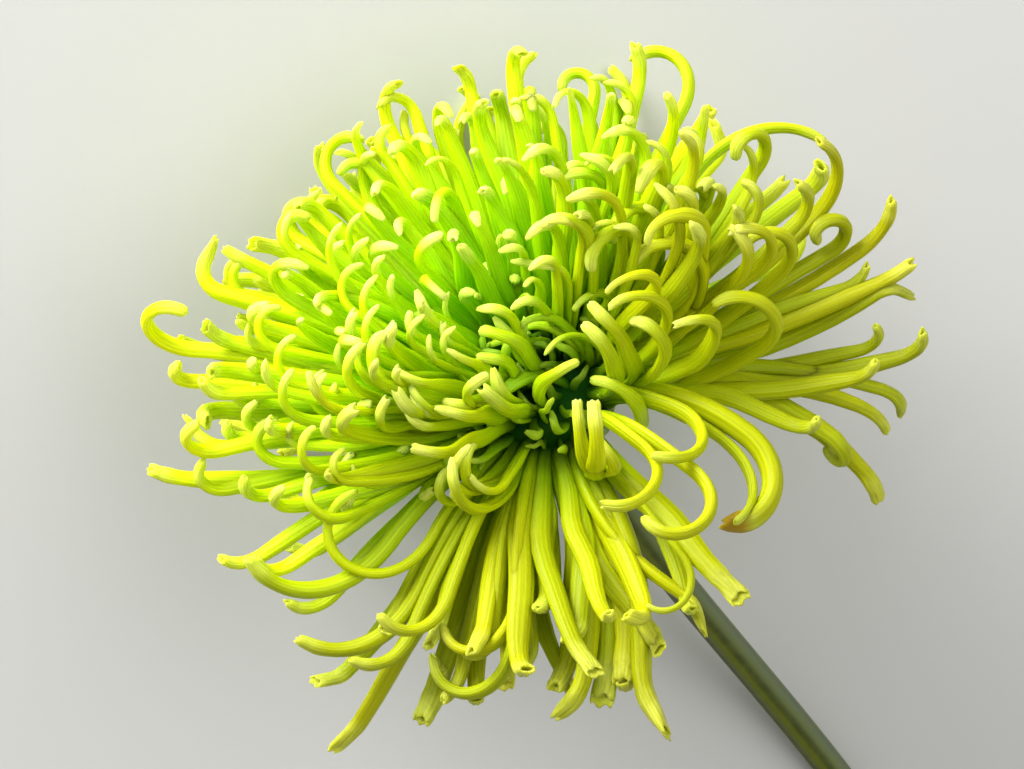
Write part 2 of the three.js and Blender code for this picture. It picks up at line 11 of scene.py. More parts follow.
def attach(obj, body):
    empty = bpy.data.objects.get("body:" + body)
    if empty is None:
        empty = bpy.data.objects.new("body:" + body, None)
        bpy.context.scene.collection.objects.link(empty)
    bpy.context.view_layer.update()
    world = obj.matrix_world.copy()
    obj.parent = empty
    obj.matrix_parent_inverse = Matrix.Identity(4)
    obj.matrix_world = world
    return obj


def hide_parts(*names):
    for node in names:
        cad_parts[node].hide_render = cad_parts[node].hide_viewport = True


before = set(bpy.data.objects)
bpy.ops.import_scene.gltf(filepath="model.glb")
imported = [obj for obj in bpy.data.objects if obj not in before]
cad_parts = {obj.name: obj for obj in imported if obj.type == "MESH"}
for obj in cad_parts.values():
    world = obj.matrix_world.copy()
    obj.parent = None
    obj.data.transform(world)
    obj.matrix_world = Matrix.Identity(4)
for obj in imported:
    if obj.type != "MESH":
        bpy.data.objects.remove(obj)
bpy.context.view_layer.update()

bl_info = {
    "name": "Disbud chrysanthemum",
    "version": (1, 0, 0),
    "blender": (4, 5, 0),
    "location": "3D View > Sidebar > Flower",
    "description": "One cut head of quilled chrysanthemum on its stem, lying on a pale surface",
    "category": "Add Mesh",
}

# Lengths below are millimetres and angles are degrees, unless a property gives its own unit.
MM = 0.001

# The head: its centre above the surface, and how steeply its axis rises away from the stem.
# In the head's own frame +Z is the flower's axis, and the surface's way up is UP.
HEAD = Vector((-31.59, -0.93, 48.0))
AXIS_SLOPE = math.radians(32)
HEAD_FRAME = Matrix.Translation(HEAD) @ Matrix.Rotation(AXIS_SLOPE - math.pi / 2, 4, "Y")
UP = Vector((math.cos(AXIS_SLOPE), 0, math.sin(AXIS_SLOPE)))
# Middle of the side that has opened first, as an azimuth, and the way to it from the head. The
# florets there are painted more olive and darker, partly for their age and partly as shade.
NEAR_AZIMUTH = math.radians(12)
NEAR_WAY = HEAD_FRAME.to_3x3() @ Vector((math.cos(NEAR_AZIMUTH), math.sin(NEAR_AZIMUTH), 0))

# Receptacle: radius and height pairs, and where the florets are rooted in it.
RECEPTACLE = [(0, -4), (7, -4), (10.5, -2.6), (12, 0), (11.4, 4), (9, 7.5), (5, 9.6), (0, 10.2)]
RECEPTACLE_SIDES = 36
ROOT_RADIUS = 9
ROOT_HEIGHT = 7
CROWN_ROOT_OFFSET = 1

# A floret: a slightly flattened quill, narrow at its root, that ends in a curl.
ROOT_WIDTH = 0.74
FULL_WIDTH_AT = 0.45
FLATNESS = 0.82
CURL_RADIUS = 2
CURL_START = 0.55
CURL_END = 1.45
SHAFT_STEPS = 12
HOOK_STEPS = 24
LANDING_LENGTH = 6
PRESSED_IN = 0.6
CLEAR_OF_SURFACE = 0.05

# How far each group has aged, from 0 for a bud to 1 for a floret that starts to dry; the crown's
# age is that of its edge.
YOUNG_AGE = 0.1
SHORT_AGE = 0.25
FRONT_AGE = 0.3
CROWN_AGE = 0.6
OUTER_AGE = 0.8

# Crown: florets by the golden angle from the pole outwards. Pairs are (share of the way out,
# value); a spread is the most that a draw adds or takes away; slimmer narrows the innermost.
GOLDEN_ANGLE = 137.508
CROWN = dict(
    count=260, seed=7, edge=80, azimuth_spread=5, polar_spread=4,
    reach=[(0, 10), (0.04, 13), (0.09, 23), (0.2, 33), (0.5, 41), (1, 45)], reach_spread=3,
    bow=[(0, 0), (0.3, 4), (1, 3)], bow_spread=3, sway_spread=4,
    hook=[(0, 6), (0.2, 9), (1, 10)], hook_spread=4,
    curl=[(0, 100), (0.4, 120), (1, 115)], curl_spread=60, roll_spread=45,
    width=2.7, width_spread=0.4, slimmer=[(0, 0.45), (0.12, 1)],
    tips=("point", "bud", "point", "split", "point"),
)
HIGH_SIDE = 178
HIGHER_REACH = 0.12
HIGHER_FROM = 0.5
WIDER_OPEN = 0.09
CROWN_CLOSED = 0.93
# The near side of the crown, past its middle, is left to the florets that are listed one by one.
NEAR_SIDE = 66
NEAR_FROM = 0.1

# Ends of the florets in the whorls below, in turn.
OUTER_TIPS = ("mouth", "split", "spoon")

# Lower whorl, on the side that faces the surface, in two layers.
UNDER = dict(
    count=24, seed=11, start=104, span=150, azimuth_spread=3, polar=(92, 110), polar_spread=4,
    reach=57, reach_spread=4, bow_spread=3, sway_spread=5, hook=10, hook_spread=4,
    curl=90, curl_spread=60, roll_spread=90, width=3.2, width_spread=0.3, tips=OUTER_TIPS,
)
# Second whorl on the far side, between the crown and the outermost florets.
FAR_SIDE = dict(
    count=26, seed=13, start=150, span=112, azimuth_spread=3, polar=(62, 74), polar_spread=5,
    reach=52, reach_spread=4, bow_spread=3, sway_spread=4, hook=8, hook_spread=3,
    curl=110, curl_spread=50, roll_spread=60, width=3.1, width_spread=0.4, tips=OUTER_TIPS,
)

# Skirt of florets on the near side, behind the outermost ones there.
SKIRT = dict(
    count=14, seed=17, start=296, span=66, azimuth_spread=3, polar=(97, 108), polar_spread=4,
    reach=46, reach_spread=4, bow_spread=4, sway_spread=8, hook=7, hook_spread=3,
    curl=60, curl_spread=50, roll_spread=60, width=3.6, width_spread=0.5, tips=OUTER_TIPS,
)

# Shorter florets of the crown's side, which curl up between its longer ones.
SHORT = dict(
    count=36, seed=61, start=222, span=84, azimuth_spread=5, polar=(46, 74), polar_spread=9,
    reach=31, reach_spread=10, bow_spread=3, sway_spread=4, hook=10, hook_spread=3,
    curl=130, curl_spread=60, roll_spread=60, width=2.5, width_spread=0.3,
    tips=("point", "bud", "split"),
)

# Outermost florets: azimuth round the axis, polar angle from it, reach of the shaft, bow
# towards the stem, sway, length of the curled end, its curl, the roll of the curl's plane
# (0 curls to the flower's pole), the width and the kind of tip.
OUTER = [
    (90, 89, 50, 4, 0, 21, 105, 0, 3.0, "mouth"),
    (110, 76, 46, -4, 0, 23, 85, -120, 2.8, "mouth"),
    (98, 76, 52, 4, 0, 13, 220, 0, 2.9, "bud"),
    (98, 84, 50, 0, 0, 3, 10, 0, 3.3, "split"),
    (77, 82, 45, 8, 0, 16, 200, 0, 2.8, "bud"),
    (62, 88, 38, 8, 0, 20, 170, 0, 3.0, "bud"),
    (84, 94, 57, 7, 0, 11, 60, 0, 3.0, "split"),
    (85, 92, 53, 4, 0, 14, 260, 0, 2.9, "bud"),
    (78, 97, 57, 4, 0, 7, 20, 0, 3.4, "split"),
    (77, 98, 57, 10, 0, 7, 130, 180, 3.2, "spoon"),
    (80, 97, 52, 0, 0, 6, 70, 0, 2.6, "split"),
    (69, 106, 58, 6, 0, 8, 90, 0, 3.4, "split"),
    (72, 106, 52, 4, 0, 7, 110, 0, 2.8, "bud"),
    (66, 110, 55, -3, 6, 7, 90, 180, 2.6, "mouth"),
    (60, 108, 51, -3, 6, 7, 60, 180, 3.0, "mouth"),
    (50, 106, 48, -3, 12, 10, 220, 180, 3.1, "bud"),
    (50, 114, 53, -3, 14, 6, 60, 180, 3.2, "mouth"),
    (38, 92, 38, -8, 4, 20, 140, -90, 4.8, "dried"),
    (36, 88, 31, -8, 0, 22, 110, -75, 2.2, "bud"),
    (36, 78, 26, -6, 0, 23, 160, -60, 2.6, "bud"),
    (20, 82, 38, -8, 0, 22, 190, -75, 2.8, "bud"),
    (16, 74, 31, -6, 0, 19, 150, -75, 2.6, "split"),
    (9, 98, 48, 0, 0, 4, 10, 0, 4.4, "spoon"),
    (1, 105, 43, -3, -8, 8, 60, -90, 3.0, "spoon"),
    (6, 96, 42, -6, 0, 14, 160, -90, 1.8, "bud"),
    (348, 106, 51, 0, 8, 12, 50, 90, 4.4, "spoon"),
    (341, 109, 48, 0, 8, 3, 10, 0, 4.6, "spoon"),
    (337, 106, 49, 0, 7, 8, 50, -90, 4.0, "split"),
    (331, 110, 48, 0, -8, 3, 10, 0, 3.2, "mouth"),
    (333, 104, 40, 0, 0, 6, 160, 90, 2.4, "bud"),
    (325, 98, 43, -6, 0, 24, 175, -90, 2.9, "split"),
    (326, 94, 38, -5, 0, 20, 160, -90, 2.9, "bud"),
    (320, 98, 43, -5, 0, 8, 130, -90, 2.6, "bud"),
    (292, 108, 62, -4, 6, 7, 30, -90, 3.6, "spoon"),
    (288, 103, 56, 0, 4, 7, 110, 0, 3.8, "spoon"),
    (298, 95, 39, -4, 0, 24, 95, -45, 3.8, "mouth"),
    (289, 86, 37, -4, 0, 27, 105, -30, 3.9, "mouth"),
    (297, 88, 32, -4, 0, 31, 220, -40, 2.4, "bud"),
    (256, 78, 60, 6, 4, 8, 30, 0, 3.6, "mouth"),
    (256, 72, 55, -4, 0, 11, 160, 0, 2.8, "bud"),
    (252, 74, 50, -4, 0, 6, 120, 0, 2.8, "bud"),
    (243, 68, 60, 0, 0, 5, 130, 0, 3.0, "bud"),
    (237, 67, 60, -4, 0, 20, 205, 0, 2.9, "bud"),
    (228, 61, 57, -4, 0, 12, 160, -60, 4.4, "spoon"),
    (222, 57, 55, 0, 0, 4, 10, -90, 3.6, "mouth"),
    (216, 54, 49, 0, 0, 9, 170, -60, 2.9, "bud"),
    (196, 56, 51, -4, 0, 13, 160, -80, 2.9, "bud"),
    (188, 51, 48, -4, 0, 6, 110, 90, 2.9, "bud"),
    (183, 48, 49, 0, 0, 5, 100, -90, 2.9, "split"),
    (176, 60, 51, 0, 0, 5, 40, -90, 2.9, "mouth"),
    (151, 64, 55, 0, 0, 6, 80, -90, 2.9, "split"),
    (120, 74, 54, -4, 0, 18, 150, 70, 2.9, "bud"),
    (127, 68, 54, 0, 0, 8, 60, 0, 3.2, "split"),
    (135, 66, 52, -4, 0, 10, 190, 70, 2.9, "bud"),
    (352, 104, 44, 0, 6, 5, 40, 90, 3.8, "mouth"),
    (345, 107, 49, 0, 8, 3, 20, 0, 4.2, "mouth"),
    (339, 100, 42, 0, 5, 5, 60, 0, 3.6, "split"),
    (332, 98, 36, 0, 0, 6, 70, 0, 3.2, "bud"),
    (326, 104, 42, -3, -3, 6, 60, -40, 3.4, "split"),
    (318, 100, 38, 0, 0, 5, 20, 0, 4.0, "mouth"),
    (311, 104, 48, -3, 0, 6, 40, -40, 3.6, "mouth"),
    (304, 108, 52, 0, 0, 5, 20, 0, 4.2, "mouth"),
    (302, 96, 46, -4, 0, 12, 90, -40, 3.2, "bud"),
    (309, 92, 40, -4, 0, 14, 120, -40, 2.8, "bud"),
    (283, 92, 48, -4, 0, 9, 90, -20, 3.2, "split"),
    (278, 84, 50, -3, 0, 9, 110, 0, 3.0, "bud"),
    (268, 88, 54, -3, 0, 8, 80, 0, 3.2, "mouth"),
    (265, 78, 48, 0, 0, 8, 110, 0, 2.8, "bud"),
    (58, 98, 50, 4, 0, 7, 60, 0, 3.4, "bud"),
    (46, 96, 42, -4, 4, 8, 90, 0, 3.0, "bud"),
    (88, 84, 50, 5, 0, 9, 100, 0, 3.0, "split"),
]

# Florets round the open near side of the crown, in the same columns.
FRONT = [
    (272, 19, 28, 0, 0, 7, 80, -70, 2.4, "point"),
    (282, 27, 31, 0, 0, 8, 120, 10, 2.2, "point"),
    (297, 28, 29, 0, 0, 6, 90, -10, 2.4, "point"),
    (316, 26, 24, 0, 0, 7, 50, -70, 2.6, "point"),
    (338, 24, 18, 0, 0, 7, 70, -80, 2.8, "bud"),
    (20, 11, 23, 0, 0, 7, 100, -40, 2.6, "point"),
    (0, 25, 15, 0, 0, 12, 60, -10, 2.6, "point"),
    (56, 28, 20, 6, 0, 8, 100, -30, 2.8, "bud"),
    (56, 36, 17, 6, 0, 12, 120, 0, 2.8, "point"),
    (48, 47, 20, 12, 0, 11, 100, -60, 2.0, "point"),
    (104, 44, 18, 12, 0, 8, 100, -15, 2.2, "point"),
    (351, 44, 14, 0, 0, 14, 100, 90, 3.0, "bud"),
    (25, 57, 10, 0, 0, 22, 160, -75, 2.8, "bud"),
    (336, 46, 20, 0, 0, 9, 80, -30, 2.8, "split"),
    (333, 40, 20, 0, 0, 7, 80, 0, 2.4, "point"),
    (316, 39, 25, 0, 0, 9, 120, 50, 2.4, "bud"),
    (318, 41, 25, 0, 0, 6, 120, -80, 2.6, "bud"),
    (321, 44, 26, 0, 0, 8, 80, -70, 2.8, "point"),
    (305, 44, 30, 0, 0, 6, 100, -40, 2.4, "point"),
    (305, 47, 31, 0, 0, 5, 90, -50, 2.6, "point"),
    (313, 54, 29, 0, 0, 8, 70, -70, 2.8, "mouth"),
    (301, 35, 31, 0, 0, 6, 100, -80, 2.6, "split"),
    (324, 73, 24, 0, 0, 9, 110, -30, 2.8, "split"),
    (319, 74, 30, 6, 0, 14, 100, 0, 2.8, "point"),
    (316, 70, 27, 6, 0, 10, 160, 0, 2.6, "bud"),
    (313, 68, 29, 6, 0, 12, 120, 30, 2.4, "point"),
    (359, 76, 25, 12, 0, 13, 80, 30, 3.0, "mouth"),
    (1, 77, 26, 6, 0, 15, 100, 30, 2.8, "mouth"),
    (6, 82, 26, 6, 0, 9, 120, 0, 2.8, "split"),
    (43, 51, 27, 12, 0, 8, 60, 30, 2.8, "bud"),
    (34, 54, 25, 6, 0, 9, 80, 15, 3.0, "bud"),
    (30, 76, 23, 12, 0, 11, 100, -15, 3.2, "bud"),
    (76, 52, 23, 12, 0, 10, 100, -30, 2.8, "bud"),
    (61, 52, 32, 0, 0, 16, 180, -30, 2.4, "bud"),
    (56, 60, 31, 6, 0, 15, 160, -15, 2.6, "split"),
    (43, 63, 31, 6, 0, 10, 140, 15, 3.0, "bud"),
    (51, 69, 37, 8, 0, 13, 130, -30, 3.0, "split"),
    (73, 66, 36, 12, 0, 17, 160, 0, 3.2, "bud"),
    (74, 58, 42, 12, 0, 16, 180, -15, 3.4, "mouth"),
    (85, 48, 32, 6, 0, 15, 180, -30, 3.0, "bud"),
    (98, 61, 34, 12, 0, 14, 160, -15, 3.0, "bud"),
    (91, 60, 38, 0, 0, 6, 100, 30, 3.0, "mouth"),
    (94, 67, 42, 12, 0, 10, 220, 0, 3.2, "mouth"),
    (72, 74, 42, 0, 0, 16, 170, 0, 2.8, "split"),
    (110, 50, 36, 12, 0, 10, 100, 30, 2.8, "bud"),
    (84, 44, 34, 6, 0, 7, 120, 0, 2.4, "bud"),
    (79, 32, 33, 0, 0, 10, 110, 0, 2.6, "point"),
    (106, 59, 38, 12, 0, 8, 200, 0, 2.6, "point"),
    (173, 15, 26, 0, 0, 7, 20, 10, 2.8, "bud"),
    (153, 31, 24, 0, 0, 5, 40, -40, 2.6, "point"),
    (102, 25, 22, 0, 0, 8, 90, 30, 2.4, "point"),
    (77, 30, 24, 0, 0, 9, 90, 0, 2.4, "point"),
    (153, 19, 34, 0, 0, 5, 150, -20, 2.4, "point"),
]

# Youngest florets, short and thin, that crowd the near side of the heart.
YOUNG = dict(
    count=54, seed=19, azimuth=-14, span=190, azimuth_spread=8,
    polar=[(0, 14), (1, 84)], polar_spread=5, reach=[(0, 12), (1, 16)], reach_spread=2,
    bow_spread=2, sway_spread=2, hook=5, hook_spread=2, curl=90, curl_spread=60,
    roll_spread=80, width=1.8, width_spread=0.3,
)
GOLDEN_SHARE = 0.618034

# Ends of a quill, ring by ring beyond its last full ring: (how far ahead, half width, half
# depth), in half widths. The rings after the lip turn back and line the mouth.
# slant: how much of the length the inner side lacks; teeth: their number and height.
TIPS = {
    "point": dict(
        rings=[
            (0.5, 0.9, 0.9), (1.1, 0.74, 0.72), (1.7, 0.52, 0.5), (2.0, 0.3, 0.28),
            (1.95, 0.14, 0.12),
        ],
        lip=3, slant=0.1, teeth=2, tooth=0.12, taken=0.8,
    ),
    "bud": dict(
        rings=[
            (0.4, 0.95, 0.95), (0.8, 0.8, 0.8), (1.05, 0.58, 0.56), (1.14, 0.34, 0.3),
            (1.0, 0.2, 0.16), (0.4, 0.1, 0.08),
        ],
        lip=3, slant=0.15, teeth=3, tooth=0.12, taken=0.2,
    ),
    "mouth": dict(
        rings=[
            (0.4, 1.03, 0.95), (0.8, 1.05, 0.86), (1.15, 0.98, 0.72), (1.3, 0.86, 0.56),
            (1.15, 0.7, 0.36), (0.5, 0.5, 0.28), (-0.8, 0.25, 0.2),
        ],
        lip=3, slant=0.3, teeth=5, tooth=0.14, taken=0.5,
    ),
    "split": dict(
        rings=[
            (0.4, 1.02, 0.95), (0.85, 1.0, 0.82), (1.2, 0.84, 0.62), (1.35, 0.66, 0.44),
            (1.1, 0.48, 0.26), (0.5, 0.3, 0.2), (-0.5, 0.16, 0.12),
        ],
        lip=3, slant=0.2, teeth=2, tooth=0.4, taken=0.6,
    ),
    "dried": dict(
        rings=[
            (0.4, 0.98, 0.85), (0.8, 0.92, 0.68), (1.1, 0.78, 0.5), (1.25, 0.56, 0.34),
            (1.1, 0.34, 0.2), (0.6, 0.18, 0.12),
        ],
        lip=3, slant=0.2, teeth=3, tooth=0.16, taken=0.6,
    ),
    "spoon": dict(
        rings=[
            (0.7, 1.04, 0.92), (1.4, 1.1, 0.78), (2.1, 1.16, 0.62), (2.7, 1.14, 0.5),
            (3.0, 1.04, 0.38), (2.8, 0.9, 0.22), (1.9, 0.8, 0.24), (1.0, 0.6, 0.24),
            (-0.4, 0.3, 0.2),
        ],
        lip=4, slant=0.3, teeth=5, tooth=0.2, taken=2.0,
    ),
}

Floret = namedtuple(
    "Floret", "azimuth polar reach bow sway hook curl roll width tip root_radius root_height age"
)


def linear(code):
    """An sRGB hex colour as linear RGBA."""
    parts = [int(code[i:i + 2], 16) / 255 for i in (1, 3, 5)]
    return [p / 12.92 if p <= 0.04045 else ((p + 0.055) / 1.055) ** 2.4 for p in parts] + [1.0]


def ease(share, start, end):
    """A smooth step from 0 at start to 1 at end."""
    t = np.clip((share - start) / (end - start), 0, 1)
    return t * t * (3 - 2 * t)


def ramp(share, stops):
    """The value at this share, from (share, value) stops or from one value for all."""
    if not isinstance(stops, list):
        return stops
    return float(np.interp(share, *zip(*stops)))


def number_stream(seed):
    """A repeatable stream of numbers between 0 and 1."""
    state = seed
    while True:
        state = state * 48271 % 2147483647
        yield state / 2147483647


def spread_from(seed):
    """A function that draws a number between minus and plus a size."""
    stream = number_stream(seed)
    return lambda size: (next(stream) * 2 - 1) * size


def outer_florets():
    """The florets of the outermost whorl, all of the same age but the dried ones."""
    return [
        Floret(*row, ROOT_RADIUS, 0, age=1.0 if row[-1] == "dried" else OUTER_AGE) for row in OUTER
    ]


def crown_root(polar):
    """Radius and height of the root of a crown floret that leaves at this angle."""
    polar = math.radians(polar)
    return CROWN_ROOT_OFFSET + ROOT_RADIUS * math.sin(polar), ROOT_HEIGHT * math.cos(polar)


def front_florets():
    """The florets listed one by one round the open near side."""
    return [Floret(*row, *crown_root(row[1]), age=FRONT_AGE) for row in FRONT]


def draw_floret(rule, spread, share, azimuth, polar, tip="bud"):
    """A floret by its rule, at this share of the rule's ramps, each value moved by a draw."""
    polar += spread(rule["polar_spread"])
    values = [
        ramp(share, rule.get(name, 0)) + spread(rule[name + "_spread"])
        for name in ("reach", "bow", "sway", "hook", "curl", "roll", "width")
    ]
    return Floret(azimuth, polar, *values, tip, ROOT_RADIUS, 0, OUTER_AGE)


def in_crown(floret, tip, age):
    """The floret rooted in the crown, with this end and age."""
    radius, height = crown_root(floret.polar)
    return floret._replace(tip=tip, root_radius=radius, root_height=height, age=age)


def crown_florets():
    """Crown florets from the pole (share 0) to the crown's edge (share 1)."""
    spread = spread_from(CROWN["seed"])
    cap = 1 - math.cos(math.radians(CROWN["edge"]))
    florets = []
    for i in range(CROWN["count"]):
        share = (i + 0.5) / CROWN["count"]
        azimuth = i * GOLDEN_ANGLE + spread(CROWN["azimuth_spread"])
        high = math.cos(math.radians(azimuth - HIGH_SIDE))
        even = math.degrees(math.acos(1 - cap * share))
        polar = even * (CROWN_CLOSED + WIDER_OPEN * high)
        floret = draw_floret(CROWN, spread, share, azimuth, polar)
        floret = floret._replace(
            reach=floret.reach * (1 + HIGHER_REACH * high * min(1, share / HIGHER_FROM)),
            width=floret.width * ramp(share, CROWN["slimmer"]),
        )
        from_near = abs((azimuth + 180) % 360 - 180)
        if share < NEAR_FROM or from_near > NEAR_SIDE:
            tip = CROWN["tips"][i % len(CROWN["tips"])]
            florets.append(in_crown(floret, tip, share * CROWN_AGE))
    return florets


def young_florets():
    """The youngest florets, from the pole down the near side by the golden share of its span."""
    spread = spread_from(YOUNG["seed"])
    florets = []
    for i in range(YOUNG["count"]):
        share = (i + 0.5) / YOUNG["count"]
        azimuth = YOUNG["azimuth"] + YOUNG["span"] * (i * GOLDEN_SHARE % 1 - 0.5)
        azimuth += spread(YOUNG["azimuth_spread"])
        floret = draw_floret(YOUNG, spread, share, azimuth, ramp(share, YOUNG["polar"]))
        florets.append(in_crown(floret, "point", YOUNG_AGE))
    return florets


def whorl_florets(whorl):
    """Florets at even azimuths, in two layers, with the whorl's kinds of end in turn."""
    spread = spread_from(whorl["seed"])
    florets = []
    for i in range(whorl["count"]):
        azimuth = whorl["start"] + whorl["span"] * (i + 0.5) / whorl["count"]
        azimuth += spread(whorl["azimuth_spread"])
        tip = whorl["tips"][i % len(whorl["tips"])]
        florets.append(draw_floret(whorl, spread, 0, azimuth, whorl["polar"][i % 2], tip))
    return florets


def short_florets():
    """The shorter florets of the crown's side."""
    return [in_crown(floret, floret.tip, SHORT_AGE) for floret in whorl_florets(SHORT)]


def unit(rows):
    """Each row at unit length."""
    return rows / np.linalg.norm(rows, axis=-1, keepdims=True)


def run_along(points):
    """How far along their line each of the points lies."""
    return np.concatenate([[0], np.cumsum(np.linalg.norm(np.diff(points, axis=0), axis=1))])


def lay_on_surface(points, radius):
    """Points that would pass through the surface settle down to it and run along it instead."""
    laid = [points[0]]
    for before, point in zip(points, points[1:]):
        step = point - before
        length = step.length
        clear = max(0, HEAD.z + laid[-1].dot(UP) - radius * PRESSED_IN)
        steepest = -clear * length / LANDING_LENGTH
        drop = step.dot(UP)
        if drop < steepest:
            level = step - UP * drop
            level.normalize()
            step = level * math.sqrt(max(0, length * length - steepest * steepest)) + UP * steepest
        laid.append(laid[-1] + step)
    return laid


def centre_line(floret):
    """The floret's centre line in fine steps, and the normal of the plane that it curls in."""
    azimuth, polar, roll = (math.radians(a) for a in (floret.azimuth, floret.polar, floret.roll))
    out = Vector((math.cos(azimuth), math.sin(azimuth), 0))
    axis = Vector((0, 0, 1))
    along = axis.cross(out)
    aim = out * math.sin(polar) + axis * math.cos(polar)
    down = out * math.cos(polar) - axis * math.sin(polar)

    root = out * floret.root_radius + axis * floret.root_height
    knee = aim * floret.reach
    middle = (root + knee) / 2 + down * floret.bow + along * floret.sway
    shares = [i / SHAFT_STEPS for i in range(SHAFT_STEPS + 1)]
    points = [root * (1 - t) ** 2 + middle * 2 * t * (1 - t) + knee * t * t for t in shares]

    ahead = (knee - middle).normalized()
    in_plane = (down - ahead * down.dot(ahead)).normalized()
    side = ahead.cross(in_plane)
    if side.dot(along) < 0:
        side.negate()
    turn = in_plane * -math.cos(roll) + side * math.sin(roll)
    plane_side = ahead.cross(turn).normalized()

    taken = TIPS[floret.tip]["taken"] * floret.width / 2
    hook = max(floret.hook - taken, floret.hook / 2)
    bend = min(math.radians(floret.curl), floret.hook / CURL_RADIUS) / HOOK_STEPS
    tip = knee.copy()
    for i in range(HOOK_STEPS):
        angle = bend * (CURL_START + (CURL_END - CURL_START) * (i + 0.5) / HOOK_STEPS)
        angle *= hook / floret.hook
        ahead, turn = (
            ahead * math.cos(angle) + turn * math.sin(angle),
            turn * math.cos(angle) - ahead * math.sin(angle),
        )
        tip = tip + ahead * (hook / HOOK_STEPS)
        points.append(tip)
    return lay_on_surface(points, floret.width / 2), plane_side


def extrude_ring(bm, edges):
    """A copy of the ring, joined to it: its vertices and its edges."""
    made = bmesh.ops.extrude_edge_only(bm, edges=edges)["geom"]
    verts = [g for g in made if isinstance(g, bmesh.types.BMVert)]
    new = set(verts)
    return verts, [g for g in made if isinstance(g, bmesh.types.BMEdge) and new.issuperset(g.verts)]


def face_outward(bm):
    """Turns a closed shape's faces outward, and puts them in the same order on each run."""
    bmesh.ops.recalc_face_normals(bm, faces=bm.faces)
    bm.verts.index_update()
    count = len(bm.verts)

    def rank(face):
        first, second, *_, last = sorted(vert.index for vert in face.verts)
        return (first * count + second) * count + last

    bm.faces.sort(key=rank)


def mesh_from(bm, name):
    """A smooth mesh of this name with what the bmesh holds, which is freed."""
    for face in bm.faces:
        face.smooth = True
    mesh = bpy.data.meshes.new(name)
    bm.to_mesh(mesh)
    bm.free()
    return mesh


def quill(sides, tip):
    """A straight quill of unit radius: a ring for each step of a centre line, then its tip.

    Its height counts steps; the layer past_end says how far a vertex lies beyond the last step.
    """
    shape = TIPS[tip]
    bm = bmesh.new()
    past_end = bm.verts.layers.float.new("past_end")
    bmesh.ops.create_circle(bm, cap_ends=True, segments=sides, radius=1)
    edges = bm.edges[:]
    for _ in range(SHAFT_STEPS + HOOK_STEPS):
        ring, edges = extrude_ring(bm, edges)
        bmesh.ops.translate(bm, verts=ring, vec=(0, 0, 1))
    last_wide = last_deep = 1
    for count, (ahead, wide, deep) in enumerate(shape["rings"]):
        ring, edges = extrude_ring(bm, edges)
        bmesh.ops.scale(bm, verts=ring, vec=(wide / last_wide, deep / last_deep, 1))
        last_wide, last_deep = wide, deep
        biting = 1 if count == shape["lip"] else 0.5 if abs(count - shape["lip"]) == 1 else 0
        for vert in ring:
            angle = math.atan2(vert.co.y / deep, vert.co.x / wide)
            inner = (0.5 - 0.5 * math.sin(angle)) ** 1.5
            tooth = shape["tooth"] * biting * math.cos(shape["teeth"] * angle)
            vert[past_end] = ahead * (1 - shape["slant"] * inner * (ahead > 0)) + tooth
    bmesh.ops.contextual_create(bm, geom=edges)
    face_outward(bm)

    around = bm.loops.layers.uv.new("around")
    rows = SHAFT_STEPS + HOOK_STEPS + len(shape["rings"])
    for face in bm.faces:
        turns = [math.atan2(l.vert.co.y, l.vert.co.x) / (2 * math.pi) % 1 for l in face.loops]
        crosses = max(turns) - min(turns) > 0.5 and len(turns) == 4
        for loop, turned in zip(face.loops, turns):
            u = turned + 1 if crosses and turned < 0.5 else turned
            loop[around].uv = (u, (loop.vert.co.z + loop.vert[past_end]) / rows)
    return bm


# A quill isn't round: it is grooved along its back and flat on its inner face. Each groove has
# the angle of its middle, its depth as a share of the half width, and its breadth in degrees.
GROOVES = [(52, 0.13, 14), (90, 0.13, 12), (130, 0.15, 14), (225, 0.1, 14), (275, 0.13, 24)]


def section(angle):
    """The quill's radius at an angle round it, as a share of its half width."""
    radius = np.ones_like(angle)
    for centre, depth, breadth in GROOVES:
        away = (np.degrees(angle) - centre + 180) % 360 - 180
        radius -= depth * np.exp(-(away / breadth) ** 2)
    return radius


Template = namedtuple("Template", "mesh x y step past_end")


def quill_template(sides, tip):
    """The straight quill as a mesh, with its coordinates as arrays."""
    bm = quill(sides, tip)
    layer = bm.verts.layers.float["past_end"]
    rows = np.array([(v.co.x, v.co.y, v.co.z, v[layer]) for v in bm.verts])
    mesh = mesh_from(bm, "quill")
    swell = section(np.arctan2(rows[:, 1], rows[:, 0]))
    return Template(mesh, rows[:, 0] * swell, rows[:, 1] * swell, rows[:, 2], rows[:, 3])


# How far a floret's line wanders and in how many waves; the width left at its end, over which
# length it narrows, and how much less the oldest do; the swelling just behind the end; and the
# slight pinch somewhere along the shaft.
WANDER = 0.35
FEWEST_WAVES = 1
MORE_WAVES = 1.5
# A full turn in radians, to the two places that the waves need.
TURN = 6.28
TAPER_LEAST = 0.42
TAPER_MOST = 0.78
TAPER_LENGTH = 13
AGED_KEEP_WIDTH = 0.9
CLUB = 0.22
CLUB_BACK = 1.8
CLUB_LENGTH = 1.6
PINCH = 0.06
PINCH_FROM = 0.35
PINCH_SPAN = 0.5
PINCH_LENGTH = 0.06
FLATNESS_SPREAD = 0.06
# The shafts of the younger florets are flattened into ribbons, which turn round at the curl.
RIBBON = 0.2
# How far from the end a tint still tells the distance to it.
TIP_LENGTH = 10


